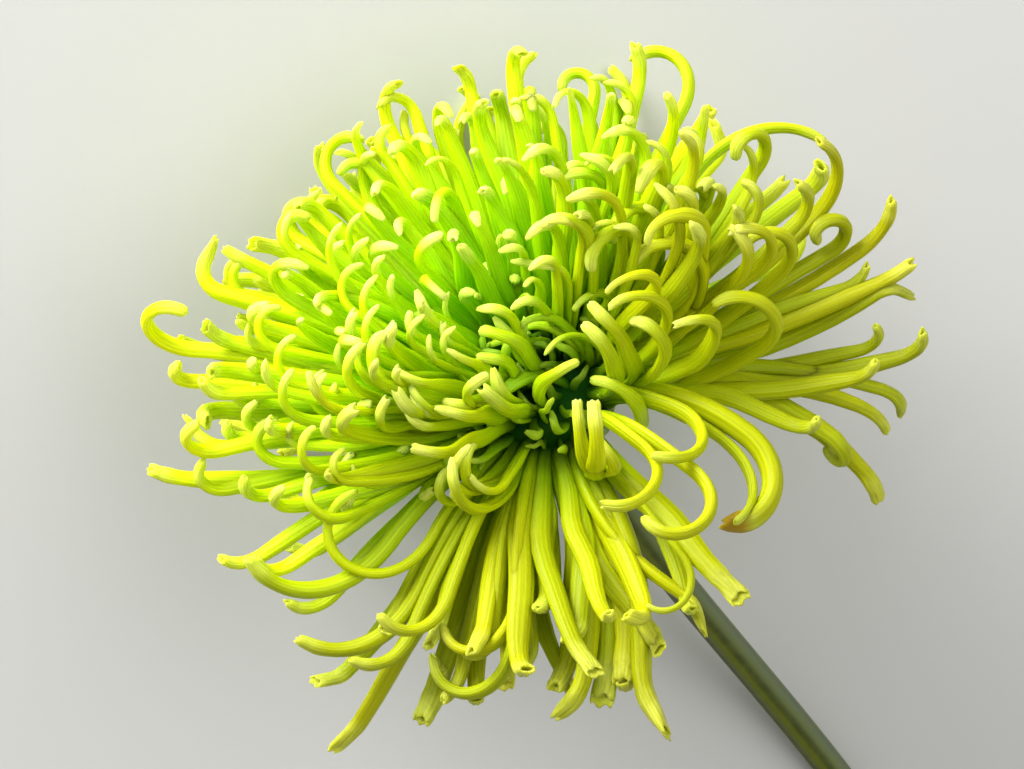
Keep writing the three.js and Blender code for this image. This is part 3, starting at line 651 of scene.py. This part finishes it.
def bend_quill(template, floret, draw):
    """The quill's vertices bent along the floret's line, with their tint rows."""
    line, plane_side = centre_line(floret)
    points = np.array(line)
    steps = len(points) - 1
    run = run_along(points)
    share = run / run[-1]

    ahead = unit(np.gradient(points, axis=0))
    across = unit(np.array(plane_side) - ahead * (ahead @ np.array(plane_side))[:, None])
    back = np.cross(ahead, across)

    phase = next(draw) * TURN
    waves = FEWEST_WAVES + next(draw) * MORE_WAVES
    size = WANDER * (0.4 + next(draw))
    sway = np.sin(share * waves * TURN + phase) * size * np.sin(share * math.pi)
    points = points + across * sway[:, None]

    half = floret.width / 2 * (ROOT_WIDTH + (1 - ROOT_WIDTH) * ease(share, 0, FULL_WIDTH_AT))
    end = TAPER_LEAST + (TAPER_MOST - TAPER_LEAST) * next(draw)
    end += (1 - end) * AGED_KEEP_WIDTH * floret.age ** 4
    half = half * (1 + (end - 1) * ease(run[-1] - run, TAPER_LENGTH, 0))
    club = CLUB * next(draw)
    half = half * (1 + club * np.exp(-((run[-1] - run - CLUB_BACK) / CLUB_LENGTH) ** 2))
    pinch_at = PINCH_FROM + PINCH_SPAN * next(draw)
    pinch = PINCH * next(draw)
    half = half * (1 - pinch * np.exp(-((share - pinch_at) / PINCH_LENGTH) ** 2))

    low = np.minimum(template.step.astype(int), steps - 1)
    part = (template.step - low)[:, None]

    def at(rows):
        rows = rows.reshape(steps + 1, -1)
        return rows[low] * (1 - part) + rows[low + 1] * part

    half_there = at(half)
    shaft = ease(share, 0.1, 0.35) * (1 - ease(share, 0.55, 0.85))
    ribbon = at(RIBBON * (1 - floret.age ** 2) * shaft)
    flat = FLATNESS + FLATNESS_SPREAD * (next(draw) - 0.5)
    places = (
        at(points)
        + at(across) * template.x[:, None] * half_there * (1 + ribbon)
        + at(back) * template.y[:, None] * half_there * flat * (1 - ribbon)
        + at(ahead) * template.past_end[:, None] * half_there
    )
    turned = np.array(HEAD_FRAME.to_3x3())
    places = places @ turned.T + np.array(HEAD)
    places[:, 2] = np.maximum(places[:, 2], CLEAR_OF_SURFACE)

    to_tip = np.maximum(run[-1] - at(run)[:, 0] - template.past_end * half_there[:, 0], 0)
    tint = np.column_stack([
        np.full(len(places), floret.age),
        np.full(len(places), next(draw)),
        np.clip(to_tip / TIP_LENGTH, 0, 1),
    ])
    return places * MM, tint


def add_object(data):
    """An object of the data's name, linked to the scene."""
    made = bpy.data.objects.new(data.name, data)
    bpy.context.scene.collection.objects.link(made)
    return made


def add_piece(mesh, node, material):
    """Makes a finished mesh a piece that rides on the flower and stands for a CAD node."""
    piece = add_object(mesh)
    mesh.materials.append(material)
    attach(piece, "root")
    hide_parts(node)


def floret_piece(context, name, florets, sides, seed):
    """One piece of many florets, each with this many sides and its own drawn unevenness."""
    draw = number_stream(seed)
    templates = {tip: quill_template(sides, tip) for tip in sorted({f.tip for f in florets})}
    bm = bmesh.new()
    places, tints = [], []
    for floret in florets:
        template = templates[floret.tip]
        bm.from_mesh(template.mesh)
        bent, tint = bend_quill(template, floret, draw)
        places.append(bent)
        tints.append(tint)
    mesh = mesh_from(bm, name)
    for template in templates.values():
        bpy.data.meshes.remove(template.mesh)
    mesh.attributes.remove(mesh.attributes["past_end"])
    mesh.vertices.foreach_set("co", np.concatenate(places).ravel())
    tint_mesh(mesh, np.concatenate(tints))
    mesh.update()
    add_piece(mesh, "bloom", floret_material(context.scene.bloom))


# Mix nodes for colours keep their sockets under these numbers.
MIX_FACTOR, MIX_A, MIX_B, MIX_RESULT = 0, 6, 7, 2


def add_node(tree, kind, inputs=None, stops=None, **settings):
    """Adds a shader node: settings are its own, and an input takes a value, a socket or a node.

    A node stands for its result: the colour of a mix, and the first output of any other.
    """
    made = tree.nodes.new("ShaderNode" + kind)
    for name, value in settings.items():
        setattr(made, name, value)
    if stops:
        elements = made.color_ramp.elements
        while len(elements) < len(stops):
            elements.new(0.5)
        for element, (position, colour) in zip(elements, stops):
            element.position = position
            element.color = colour
    for name, value in (inputs or {}).items():
        if isinstance(value, bpy.types.Node):
            value = value.outputs[MIX_RESULT if value.type == "MIX" else 0]
        if isinstance(value, bpy.types.NodeSocket):
            tree.links.new(value, made.inputs[name])
        else:
            made.inputs[name].default_value = value
    return made


def new_material(name):
    """A material, the function that adds a node to it, and a point's place on the object."""
    material = bpy.data.materials.new(name)
    material.use_nodes = True
    material.node_tree.nodes.clear()
    add = partial(add_node, material.node_tree)
    return material, add, add("TexCoord").outputs["Object"]


def tint_values(add):
    """The three values that tint_mesh stores."""
    return add("SeparateColor", {"Color": add("Attribute", attribute_name="tint")}).outputs


def finish_material(add, height, strength, distance, surface):
    """Gives a material its surface, with these values and in relief by this height."""
    bump = add("Bump", {"Height": height, "Strength": strength, "Distance": distance * MM})
    add("OutputMaterial", {"Surface": add("BsdfPrincipled", surface | {"Normal": bump})})


# Fine ribs round one quill, and the constant that the wave texture counts its bands with.
RIBS_ROUND = 13
WAVE_UNIT = 20


def floret_material(settings):
    """Living ray floret: thin, waxy plant tissue that light passes into, dull on its grooves."""
    if "living_ray_floret" in bpy.data.materials:
        return bpy.data.materials["living_ray_floret"]
    material, add, place = new_material("living_ray_floret")
    age, chance, to_tip = tint_values(add)

    # Chlorophyll fades along the floret with its distance from the heart, and towards the
    # heart the colour darkens almost to black as painted shade. The near side, where the head
    # has opened first, has turned more olive, and is painted darker there as shade too.
    distance = add("VectorMath", {0: place, 1: HEAD * MM}, operation="DISTANCE")
    reach = add("MapRange", {
        "Value": distance.outputs["Value"], "From Min": 8 * MM, "From Max": 62 * MM,
    })
    # The first stops of both ramps are painted shade: the heart darkened almost to black.
    fresh_with_painted_heart_shade = add("ValToRGB", {"Fac": reach}, stops=[
        (0.0, linear("#002800")),
        (0.07, settings.root_colour),
        (0.21, settings.shaft_colour),
        (0.48, settings.upper_colour),
        (1.0, settings.outer_colour),
    ])
    opened = add("ValToRGB", {"Fac": reach}, stops=[
        (0.0, linear("#001e00")),
        (0.07, linear("#0a5000")),
        (0.18, linear("#a0c200")),
        (0.36, linear("#b8c600")),
        (1.0, settings.opened_and_shaded_colour),
    ])
    # Near side mask: olive for the florets that opened first, and darker as painted shade.
    from_head = add("VectorMath", {0: place, 1: HEAD * MM}, operation="SUBTRACT")
    nearness = add("VectorMath", {0: from_head, 1: NEAR_WAY}, operation="DOT_PRODUCT")
    side = add("MapRange", {
        "Value": nearness.outputs["Value"], "From Min": -14 * MM, "From Max": 16 * MM,
    }, interpolation_type="SMOOTHSTEP")
    body = add("Mix", {MIX_FACTOR: side, MIX_A: fresh_with_painted_heart_shade, MIX_B: opened}, data_type="RGBA")

    # Fine veins and ribs run the whole length, less than a millimetre apart.
    around = add("UVMap", uv_map="around")
    stretched = add("Mapping", {"Vector": around, "Scale": (22, 3, 1)})
    veins = add("TexNoise", {"Vector": stretched, "Scale": 1.0, "Detail": 3.0, "Roughness": 0.6})
    ribs = add("TexWave", {
        "Vector": around, "Scale": RIBS_ROUND * 2 * math.pi / WAVE_UNIT,
    }, bands_direction="X").outputs["Fac"]
    light_vein = add("MapRange", {
        "Value": veins, "From Min": 0.35, "From Max": 0.7, "To Min": 0.86, "To Max": 1.16,
    })
    dark_line = add("MapRange", {"Value": ribs, "From Max": 0.4, "To Min": settings.rib_shade})
    lined = add("Math", {0: light_vein, 1: dark_line}, operation="MULTIPLY")

    # Each floret is a little greener or yellower than its neighbours.
    hue = add("MapRange", {"Value": chance, "To Min": 0.488, "To Max": 0.508})
    lightness = add("MapRange", {"Value": chance, "To Min": 1.08, "To Max": 0.9})
    varied = add("HueSaturation", {
        "Hue": hue,
        "Value": add("Math", {0: lined, 1: lightness}, operation="MULTIPLY"),
        "Color": body,
    })

    # The end pales to cream in blotches, most on the crown and less on the older florets; near
    # the heart, and partly on the near side, the cream is held back as painted shade.
    paleness = add("MapRange", {
        "Value": to_tip, "From Min": 0.42, "From Max": 0.0,
    }, interpolation_type="SMOOTHSTEP")
    blotches = add("TexNoise", {"Vector": place, "Scale": 1 / (2.4 * MM), "Detail": 2.0})
    streaky = add("MapRange", {
        "Value": add("Math", {0: blotches, 1: veins}), "From Min": 0.75, "From Max": 1.15,
    })
    for factor in (
        add("MapRange", {"Value": age, "From Max": 0.8, "To Min": 1.0, "To Max": 0.35}),
        # Less cream on the near side: partly the older florets there, partly painted shade.
        add("MapRange", {"Value": side, "To Min": 1.0, "To Max": 0.7}),
        # Painted shade: little cream near the heart, where the ends lie deep in shade.
        add("MapRange", {"Value": reach, "From Min": 0.2, "From Max": 0.4, "To Min": 0.15}),
        add("MapRange", {"Value": streaky, "To Min": 0.4}),
    ):
        paleness = add("Math", {0: paleness, 1: factor}, operation="MULTIPLY")
    tipped = add("Mix", {
        MIX_FACTOR: paleness, MIX_A: varied, MIX_B: settings.tip_colour,
    }, data_type="RGBA")

    # The end of the oldest has dried to a light brown.
    old = add("Math", {0: age, 1: 0.9}, operation="GREATER_THAN")
    dry_end = add("MapRange", {"Value": to_tip, "From Min": 0.2, "From Max": 0.03, "To Max": 0.8})
    dried = add("Math", {0: old, 1: dry_end}, operation="MULTIPLY")
    coloured = add("Mix", {
        MIX_FACTOR: dried, MIX_A: tipped, MIX_B: settings.dry_colour,
    }, data_type="RGBA")

    grain = add("TexNoise", {"Vector": place, "Scale": 1 / (0.5 * MM), "Detail": 2.0})
    lines = add("Math", {0: ribs, 1: 0.4, 2: veins}, operation="MULTIPLY_ADD")
    relief = add("Math", {0: grain, 1: 0.3, 2: lines}, operation="MULTIPLY_ADD")
    finish_material(add, relief, 0.5, 0.25, {
        "Base Color": coloured,
        "Roughness": add("MapRange", {"Value": grain, "To Min": 0.42, "To Max": 0.6}),
        "IOR": 1.42,
        "Specular IOR Level": 0.25,
        "Subsurface Weight": 0.7,
        "Subsurface Radius": (1.0, 1.0, 0.25),
        "Subsurface Scale": 2.2 * MM,
    })
    return material


def bract_material(settings):
    """Involucral bract: leathery green leaf tissue with a dry, papery margin."""
    material, add, place = new_material("papery_green_bract")
    margin = tint_values(add)[0]
    mottle = add("TexNoise", {"Vector": place, "Scale": 1 / (1.2 * MM), "Detail": 4.0})
    green = add("Mix", {
        MIX_FACTOR: mottle, MIX_A: settings.bract_colour, MIX_B: linear("#8fae4a"),
    }, data_type="RGBA")
    edged = add("Mix", {
        MIX_FACTOR: margin, MIX_A: green, MIX_B: linear("#c9b98a"),
    }, data_type="RGBA")
    finish_material(add, mottle, 0.4, 0.2, {
        "Base Color": edged,
        "Roughness": 0.58,
        "Subsurface Weight": 0.1,
        "Subsurface Scale": 0.8 * MM,
    })
    return material


def stem_material(settings):
    """Young flower stalk: ribbed, firm green skin under a grey down of short hairs."""
    material, add, place = new_material("ribbed_green_stalk")
    ridge, cut_face, painted_sheen_side = tint_values(add)
    mottle = add("TexNoise", {"Vector": place, "Scale": 1 / (2.5 * MM), "Detail": 5.0})
    rib = add("MapRange", {"Value": ridge, "From Max": 0.9}, interpolation_type="SMOOTHSTEP")
    # Painted reflection: a grey-blue sheen over one side of the stem.
    bloom = add("MapRange", {
        "Value": painted_sheen_side, "From Min": 0.7, "To Max": 0.55,
    }, interpolation_type="SMOOTHSTEP")
    patches = add("MapRange", {
        "Value": mottle, "From Min": 0.4, "From Max": 0.8, "To Max": 0.35,
    })
    coloured = settings.furrow_colour
    for amount, colour_over in (
        (rib, settings.rib_colour),
        (bloom, settings.painted_sheen_colour),
        (patches, linear("#727c28")),
        (cut_face, linear("#d5d9a6")),
    ):
        coloured = add("Mix", {
            MIX_FACTOR: amount, MIX_A: coloured, MIX_B: colour_over,
        }, data_type="RGBA")
    finish_material(add, mottle, 0.5, 0.15, {
        "Base Color": coloured,
        "Roughness": 0.5,
        "Specular IOR Level": 0.3,
        "Sheen Weight": 0.12,
        "Sheen Roughness": 0.4,
        "Sheen Tint": linear("#c9d6dc"),
    })
    return material


def surface_material(settings):
    """Matt card: even and pale, with the faintest tooth."""
    material, add, place = new_material("matt_pale_card")
    tooth = add("TexNoise", {"Vector": place, "Scale": 1 / (1.5 * MM), "Detail": 3.0})
    finish_material(add, tooth, 0.08, 0.1, {
        "Base Color": settings.floor_colour,
        "Roughness": 0.75,
    })
    return material


def tint_mesh(mesh, rows):
    """Stores three values per vertex as the attribute that the materials read."""
    tint = mesh.attributes.new("tint", "FLOAT_COLOR", "POINT")
    tint.data.foreach_set("color", np.insert(np.array(rows, float), 3, 1, axis=1).ravel())


def lathe(profile, sides):
    """A solid of revolution round Z from radius and height pairs that start and end on it."""
    bm = bmesh.new()
    verts = [bm.verts.new((radius, 0, height)) for radius, height in profile]
    edges = [bm.edges.new(pair) for pair in zip(verts, verts[1:])]
    bmesh.ops.spin(
        bm, geom=verts + edges, cent=(0, 0, 0), axis=(0, 0, 1), dvec=(0, 0, 0),
        angle=2 * math.pi, steps=sides, use_merge=True, use_duplicate=False,
    )
    bmesh.ops.remove_doubles(bm, verts=bm.verts, dist=1e-4)
    face_outward(bm)
    return bm


def into_place(bm):
    """From the head's frame in millimetres to the flower's own in metres."""
    bmesh.ops.transform(bm, matrix=Matrix.Scale(MM, 4) @ HEAD_FRAME, verts=bm.verts)


# Cup under the head, and its rings of overlapping bracts.
CUP = [
    (0, -12), (3.9, -12), (6.6, -10.4), (9, -7.4), (10, -4.6), (9.6, -3.5), (7, -4.35), (0, -4.35),
]
CUP_SIDES = 48
BRACT_RINGS = [
    dict(count=11, radius=6.3, height=-9.9, lean=46, length=4.6, width=3.6),
    dict(count=13, radius=8.4, height=-7.7, lean=31, length=4.8, width=3.7),
    dict(count=15, radius=9.75, height=-5.4, lean=12, length=3.4, width=3.4),
]
BRACT_SEED = 41
BRACT_CELLS = 8
BRACT_THICKNESS = 0.45
BRACT_KEEL = 0.35
# How far a bract's margins and ends bend back, and how much its lean and its place vary.
BRACT_HOLLOW = 0.45
BRACT_ARCH = 0.25
BRACT_CLEARANCE = 0.2
LEAN_SPREAD = 6
TURN_SPREAD = 0.1


def bract(ring, turn, draw):
    """One pointed, keeled bract as a closed sheet, in the head's frame."""
    bm = bmesh.new()
    bmesh.ops.create_grid(bm, x_segments=BRACT_CELLS, y_segments=BRACT_CELLS, size=1)
    margin = bm.verts.layers.float.new("margin")
    for vert in bm.verts:
        x, y = vert.co.xy
        outline = (1 - ((y + 1) / 2) ** 2.6) ** 0.7 * (0.72 + 0.28 * math.sin((y + 1) * 1.4))
        vert[margin] = max(abs(x) ** 3, ease(y, 0.55, 1.0))
        vert.co = (
            x * max(outline, 0.04) * ring["width"] / 2,
            y * ring["length"] / 2,
            BRACT_KEEL * max(0, 1 - abs(x) * 4) - BRACT_HOLLOW * x * x - BRACT_ARCH * y * y,
        )
    bmesh.ops.solidify(bm, geom=bm.faces[:], thickness=BRACT_THICKNESS)
    face_outward(bm)
    stand = Matrix.Rotation(math.pi / 2, 4, "X")
    facing = Matrix.Rotation(math.pi / 2, 4, "Z")
    lean = Matrix.Rotation(math.radians(ring["lean"] + LEAN_SPREAD * (next(draw) - 0.5)), 4, "Y")
    place = Matrix.Translation((ring["radius"] + BRACT_CLEARANCE, 0, ring["height"]))
    around = Matrix.Rotation(turn + TURN_SPREAD * (next(draw) - 0.5), 4, "Z")
    bmesh.ops.transform(bm, matrix=around @ place @ lean @ facing @ stand, verts=bm.verts)
    return bm


# Stem: a ribbed stalk that leaves the cup along the flower's axis and bends down to lie flat.
STEM_TOP = -12.3
STEM_RADIUS = 2.9
STEM_RIBS = 6
SIDES_A_RIB = 10
RIB_DEPTH = 0.24
STEM_TOP_RADIUS = 3.5
STEM_FLARE_LENGTH = 14
STEM_STRAIGHT = 44
STEM_REACH = 119
STEM_SIDEWAYS = 10
STEM_END_HEIGHT = 2.5
STEM_LYING = 36
STEM_LYING_SIDEWAYS = 2
STEM_RINGS = 90
STEM_LINE_STEPS = 800
FURROW_SHAPE = 1.4
# Rings of the cut end: share of the stem's radius, and how far beyond its last ring.
CUT_RINGS = [(0.93, 0.12), (0.6, 0.05), (0.5, -0.5)]
# The side where a grey-blue reflection is painted into the colour, as an angle round the stem.
PAINTED_SHEEN_SIDE = math.radians(30)


def stem_line():
    """Points and ways ahead along the stem's centre, evenly spaced, in millimetres."""
    top = HEAD_FRAME @ Vector((0, 0, STEM_TOP))
    start = HEAD_FRAME @ Vector((0, 0, STEM_TOP - STEM_STRAIGHT))
    end = Vector((HEAD.x + STEM_REACH, HEAD.y + STEM_SIDEWAYS, STEM_END_HEIGHT))
    lying = end - Vector((STEM_LYING, STEM_LYING_SIDEWAYS, 0))
    t = np.linspace(0, 1, STEM_LINE_STEPS + 1)[:, None]
    corners = [np.array(p) for p in (top, start, lying, end)]
    weights = [(1 - t) ** 3, 3 * t * (1 - t) ** 2, 3 * t * t * (1 - t), t ** 3]
    fine = sum(weight * corner for weight, corner in zip(weights, corners))
    run = run_along(fine)
    even = np.linspace(0, run[-1], STEM_RINGS + 1)
    points = np.column_stack([np.interp(even, run, fine[:, i]) for i in range(3)])
    return points, unit(np.gradient(points, axis=0)), even


def stem_mesh():
    """The ribbed stalk, its lower end cut square round a shallow pith."""
    points, ahead, run = stem_line()
    sides = STEM_RIBS * SIDES_A_RIB
    bm = bmesh.new()
    bmesh.ops.create_circle(bm, cap_ends=True, segments=sides, radius=1)
    edges = bm.edges[:]
    rings = [bm.verts[:]]
    for _ in range(STEM_RINGS + len(CUT_RINGS)):
        ring, edges = extrude_ring(bm, edges)
        rings.append(ring)
    bmesh.ops.contextual_create(bm, geom=edges)

    tints = {}
    sizes = [(1, 0)] * (STEM_RINGS + 1) + CUT_RINGS
    for number, (ring, (size, past)) in enumerate(zip(rings, sizes)):
        along = min(number, STEM_RINGS)
        across = unit(np.array((0, 1, 0)) - ahead[along] * ahead[along][1])
        deep = np.cross(ahead[along], across)
        flare = 1 - ease(run[along], 0, STEM_FLARE_LENGTH)
        radius = STEM_RADIUS + (STEM_TOP_RADIUS - STEM_RADIUS) * flare
        for vert in ring:
            angle = math.atan2(vert.co.y, vert.co.x)
            furrow = 0.5 - 0.5 * math.cos(STEM_RIBS * angle)
            # Painted reflection: how far this vertex faces the side with the grey-blue sheen.
            bloom = 0.5 + 0.5 * math.cos(angle - PAINTED_SHEEN_SIDE)
            reach = radius * size * (1 - RIB_DEPTH / STEM_RADIUS * furrow ** FURROW_SHAPE)
            place = points[along] + ahead[along] * past
            place = place + (across * math.cos(angle) + deep * math.sin(angle)) * reach
            place[2] = max(place[2], CLEAR_OF_SURFACE)
            vert.co = place * MM
            tints[vert] = (1 - furrow, number > STEM_RINGS, bloom)
    face_outward(bm)
    rows = [tints[vert] for vert in bm.verts]
    mesh = mesh_from(bm, "ribbed_stem")
    tint_mesh(mesh, rows)
    return mesh


# Camera, as the photograph was taken: turned from the flower's axis by VIEW_ANGLE, and this far
# from the head's centre. The rolls are the picture's right and up, as shares of the way along
# the flower's axis and of the way to its side. The offset is to the right and up.
VIEW_ANGLE = math.radians(45)
ROLL_RIGHT = Vector((-0.53, -0.848))
ROLL_UP = Vector((0.848, -0.53))
CAMERA_DISTANCE = 498
CAMERA_OFFSET = (-6.0, 1.75)
FOCAL_LENGTH = 105.05
SENSOR_WIDTH = 36
CLIP_START = 0.01
# Half the side of the square floor, in metres.
FLOOR_HALF = 4


def camera_frame():
    """The camera's right, up and back ways and its place, in the flower's own frame."""
    back = Vector((math.sin(VIEW_ANGLE), 0, math.cos(VIEW_ANGLE)))
    axis_way = Vector((-math.cos(VIEW_ANGLE), 0, math.sin(VIEW_ANGLE)))
    side_way = Vector((0, -1, 0))
    right = axis_way * ROLL_RIGHT[0] + side_way * ROLL_RIGHT[1]
    up = axis_way * ROLL_UP[0] + side_way * ROLL_UP[1]
    place = right * CAMERA_OFFSET[0] + up * CAMERA_OFFSET[1] + back * CAMERA_DISTANCE
    turn = HEAD_FRAME.to_3x3()
    return turn @ right, turn @ up, turn @ back, HEAD_FRAME @ place


def colour_setting(name, description, code):
    """A colour that the user can change, with its sRGB default."""
    return bpy.props.FloatVectorProperty(
        name=name, description=description, size=4, subtype="COLOR", min=0, max=1,
        default=linear(code),
    )


def number_setting(name, description, default, **limits):
    """A number that the user can change, never below zero."""
    return bpy.props.FloatProperty(
        name=name, description=description, default=default, min=0, **limits
    )


class BloomSettings(bpy.types.PropertyGroup):
    root_colour: colour_setting("Root", "Colour of a floret near the heart", "#0e6400")
    shaft_colour: colour_setting("Shaft", "Colour of the middle of a crown floret", "#9ce000")
    upper_colour: colour_setting("Upper shaft", "Colour towards the curl", "#c4f000")
    outer_colour: colour_setting("Outer florets", "Colour of the longest florets", "#d8e600")
    # Olive of the near side: partly the older florets' own colour, partly painted shade.
    opened_and_shaded_colour: colour_setting("Opened florets", "Colour where the head opened first", "#a4a800")
    tip_colour: colour_setting("Tip", "Cream of the curled ends", "#faff84")
    rib_shade: number_setting("Ribs", "Brightness left in a floret's fine lines", 0.9, max=1)
    dry_colour: colour_setting("Dry tip", "Brown of a dried end", "#a07404")


class StemSettings(bpy.types.PropertyGroup):
    rib_colour: colour_setting("Ribs", "Colour of the stem's ribs", "#606804")
    furrow_colour: colour_setting("Furrows", "Colour between the ribs", "#3e4600")
    # Painted reflection: the grey-blue sheen on one side of the stem.
    painted_sheen_colour: colour_setting("Bloom", "Grey-blue wax on one side of the stem", "#6f7c66")
    bract_colour: colour_setting("Bracts", "Green of the cup's bracts", "#5c8428")


class StageSettings(bpy.types.PropertyGroup):
    floor_colour: colour_setting("Floor", "Colour of the surface under the flower", "#cccbc7")
    key_power: number_setting("Key light", "Power of the large soft light", 26, subtype="POWER")
    fill_power: number_setting("Fill light", "Power of the weaker front light", 3.2, subtype="POWER")
    sky: number_setting("Surround", "Brightness of the room around", 0.4)


class FLOWER_OT_receptacle(bpy.types.Operator):
    """Add the solid green heart that the florets grow from"""
    bl_idname = "flower.receptacle"
    bl_label = "Receptacle"

    def execute(self, context):
        bm = lathe(RECEPTACLE, RECEPTACLE_SIDES)
        into_place(bm)
        mesh = mesh_from(bm, "receptacle")
        tint_mesh(mesh, [(0, 0.5, 1)] * len(mesh.vertices))
        mesh.uv_layers.new(name="around")
        add_piece(mesh, "bloom", floret_material(context.scene.bloom))
        return {"FINISHED"}


class FLOWER_OT_outer_florets(bpy.types.Operator):
    """Add the long florets of the outermost whorl"""
    bl_idname = "flower.outer_florets"
    bl_label = "Outer florets"

    def execute(self, context):
        floret_piece(context, "outer_florets", outer_florets(), sides=24, seed=23)
        return {"FINISHED"}


class FLOWER_OT_crown_florets(bpy.types.Operator):
    """Add the dense incurved florets of the crown"""
    bl_idname = "flower.crown_florets"
    bl_label = "Crown florets"

    def execute(self, context):
        florets = crown_florets()
        middle = len(florets) // 2
        floret_piece(context, "inner_crown_florets", florets[:middle], sides=16, seed=29)
        floret_piece(context, "outer_crown_florets", florets[middle:], sides=16, seed=31)
        return {"FINISHED"}


class FLOWER_OT_near_florets(bpy.types.Operator):
    """Add the florets round the open near side, the shorter ones beside it and the youngest"""
    bl_idname = "flower.near_florets"
    bl_label = "Near side florets"

    def execute(self, context):
        floret_piece(context, "front_florets", front_florets(), sides=24, seed=47)
        floret_piece(context, "short_florets", short_florets(), sides=16, seed=67)
        floret_piece(context, "young_florets", young_florets(), sides=12, seed=53)
        return {"FINISHED"}


class FLOWER_OT_lower_florets(bpy.types.Operator):
    """Add the whorl that the flower rests on, the far side's second whorl and the skirt"""
    bl_idname = "flower.lower_florets"
    bl_label = "Lower florets"

    def execute(self, context):
        floret_piece(context, "under_florets", whorl_florets(UNDER), sides=16, seed=37)
        floret_piece(context, "far_side_florets", whorl_florets(FAR_SIDE), sides=16, seed=43)
        floret_piece(context, "skirt_florets", whorl_florets(SKIRT), sides=18, seed=59)
        return {"FINISHED"}


class FLOWER_OT_involucre(bpy.types.Operator):
    """Add the cup under the head with its overlapping bracts"""
    bl_idname = "flower.involucre"
    bl_label = "Involucre"

    def execute(self, context):
        draw = number_stream(BRACT_SEED)
        bm = lathe(CUP, CUP_SIDES)
        bm.verts.layers.float.new("margin")
        for number, ring in enumerate(BRACT_RINGS):
            for i in range(ring["count"]):
                leaf = bract(ring, 2 * math.pi * (i + 0.5 * (number % 2)) / ring["count"], draw)
                mesh = mesh_from(leaf, "bract")
                bm.from_mesh(mesh)
                bpy.data.meshes.remove(mesh)
        margin = bm.verts.layers.float["margin"]
        rows = [(vert[margin], 0, 0) for vert in bm.verts]
        bm.verts.layers.float.remove(margin)
        into_place(bm)
        mesh = mesh_from(bm, "involucre_bracts")
        tint_mesh(mesh, rows)
        add_piece(mesh, "involucre", bract_material(context.scene.stem))
        return {"FINISHED"}


class FLOWER_OT_stem(bpy.types.Operator):
    """Add the ribbed stalk with its cut end"""
    bl_idname = "flower.stem"
    bl_label = "Stem"

    def execute(self, context):
        add_piece(stem_mesh(), "stem", stem_material(context.scene.stem))
        return {"FINISHED"}


class FLOWER_OT_stage(bpy.types.Operator):
    """Add the floor, the lights and the camera"""
    bl_idname = "flower.stage"
    bl_label = "Stage"

    def execute(self, context):
        scene, stage = context.scene, context.scene.stage
        bm = bmesh.new()
        bmesh.ops.create_grid(bm, x_segments=1, y_segments=1, size=FLOOR_HALF)
        floor = add_object(mesh_from(bm, "floor"))
        floor.data.materials.append(surface_material(stage))

        right, up, back, place = camera_frame()
        lens = bpy.data.cameras.new("camera")
        lens.lens = FOCAL_LENGTH
        lens.sensor_width = SENSOR_WIDTH
        lens.clip_start = CLIP_START
        scene.camera = add_object(lens)
        turn = Matrix((right, up, back)).transposed().to_4x4()
        scene.camera.matrix_world = Matrix.Translation(place * MM) @ turn

        head = HEAD * MM
        for name, way, distance, size, power in (
            ("key_light", back * 0.5 - right * 0.8 + up * 0.9, 1.0, 0.8, stage.key_power),
            ("fill_light", back * 0.8 + right * 0.5 + up * 0.1, 0.8, 0.7, stage.fill_power),
        ):
            lamp = bpy.data.lights.new(name, "AREA")
            lamp.shape = "DISK"
            lamp.size = size
            lamp.energy = power
            light = add_object(lamp)
            light.visible_camera = False
            light.location = head + way.normalized() * distance
            light.rotation_euler = (-way).to_track_quat("-Z", "Y").to_euler()

        scene.world = bpy.data.worlds.new("room")
        scene.world.use_nodes = True
        scene.world.node_tree.nodes.clear()
        sky = add_node(scene.world.node_tree, "Background", {
            "Color": linear("#f4f6f8"), "Strength": stage.sky,
        })
        add_node(scene.world.node_tree, "OutputWorld", {"Surface": sky})
        scene.view_settings.view_transform = "Standard"
        return {"FINISHED"}


OPERATORS = (
    FLOWER_OT_stage,
    FLOWER_OT_receptacle,
    FLOWER_OT_outer_florets,
    FLOWER_OT_crown_florets,
    FLOWER_OT_near_florets,
    FLOWER_OT_lower_florets,
    FLOWER_OT_involucre,
    FLOWER_OT_stem,
)


class FLOWER_PT_panel(bpy.types.Panel):
    bl_idname = "FLOWER_PT_panel"
    bl_label = "Chrysanthemum"
    bl_space_type = "VIEW_3D"
    bl_region_type = "UI"
    bl_category = "Flower"

    def draw(self, context):
        layout = self.layout
        for group in (context.scene.bloom, context.scene.stem, context.scene.stage):
            box = layout.box()
            for name in group.bl_rna.properties.keys():
                if name not in ("rna_type", "name"):
                    box.prop(group, name)
        for operator in OPERATORS:
            layout.operator(operator.bl_idname)


CLASSES = (BloomSettings, StemSettings, StageSettings) + OPERATORS + (FLOWER_PT_panel,)


def register():
    for made in CLASSES:
        bpy.utils.register_class(made)
    bpy.types.Scene.bloom = bpy.props.PointerProperty(type=BloomSettings)
    bpy.types.Scene.stem = bpy.props.PointerProperty(type=StemSettings)
    bpy.types.Scene.stage = bpy.props.PointerProperty(type=StageSettings)


def unregister():
    del bpy.types.Scene.bloom
    del bpy.types.Scene.stem
    del bpy.types.Scene.stage
    for made in reversed(CLASSES):
        bpy.utils.unregister_class(made)


def main():
    register()
    for operator in OPERATORS:
        group, name = operator.bl_idname.split(".")
        getattr(getattr(bpy.ops, group), name)()


if __name__ == "__main__":
    main()
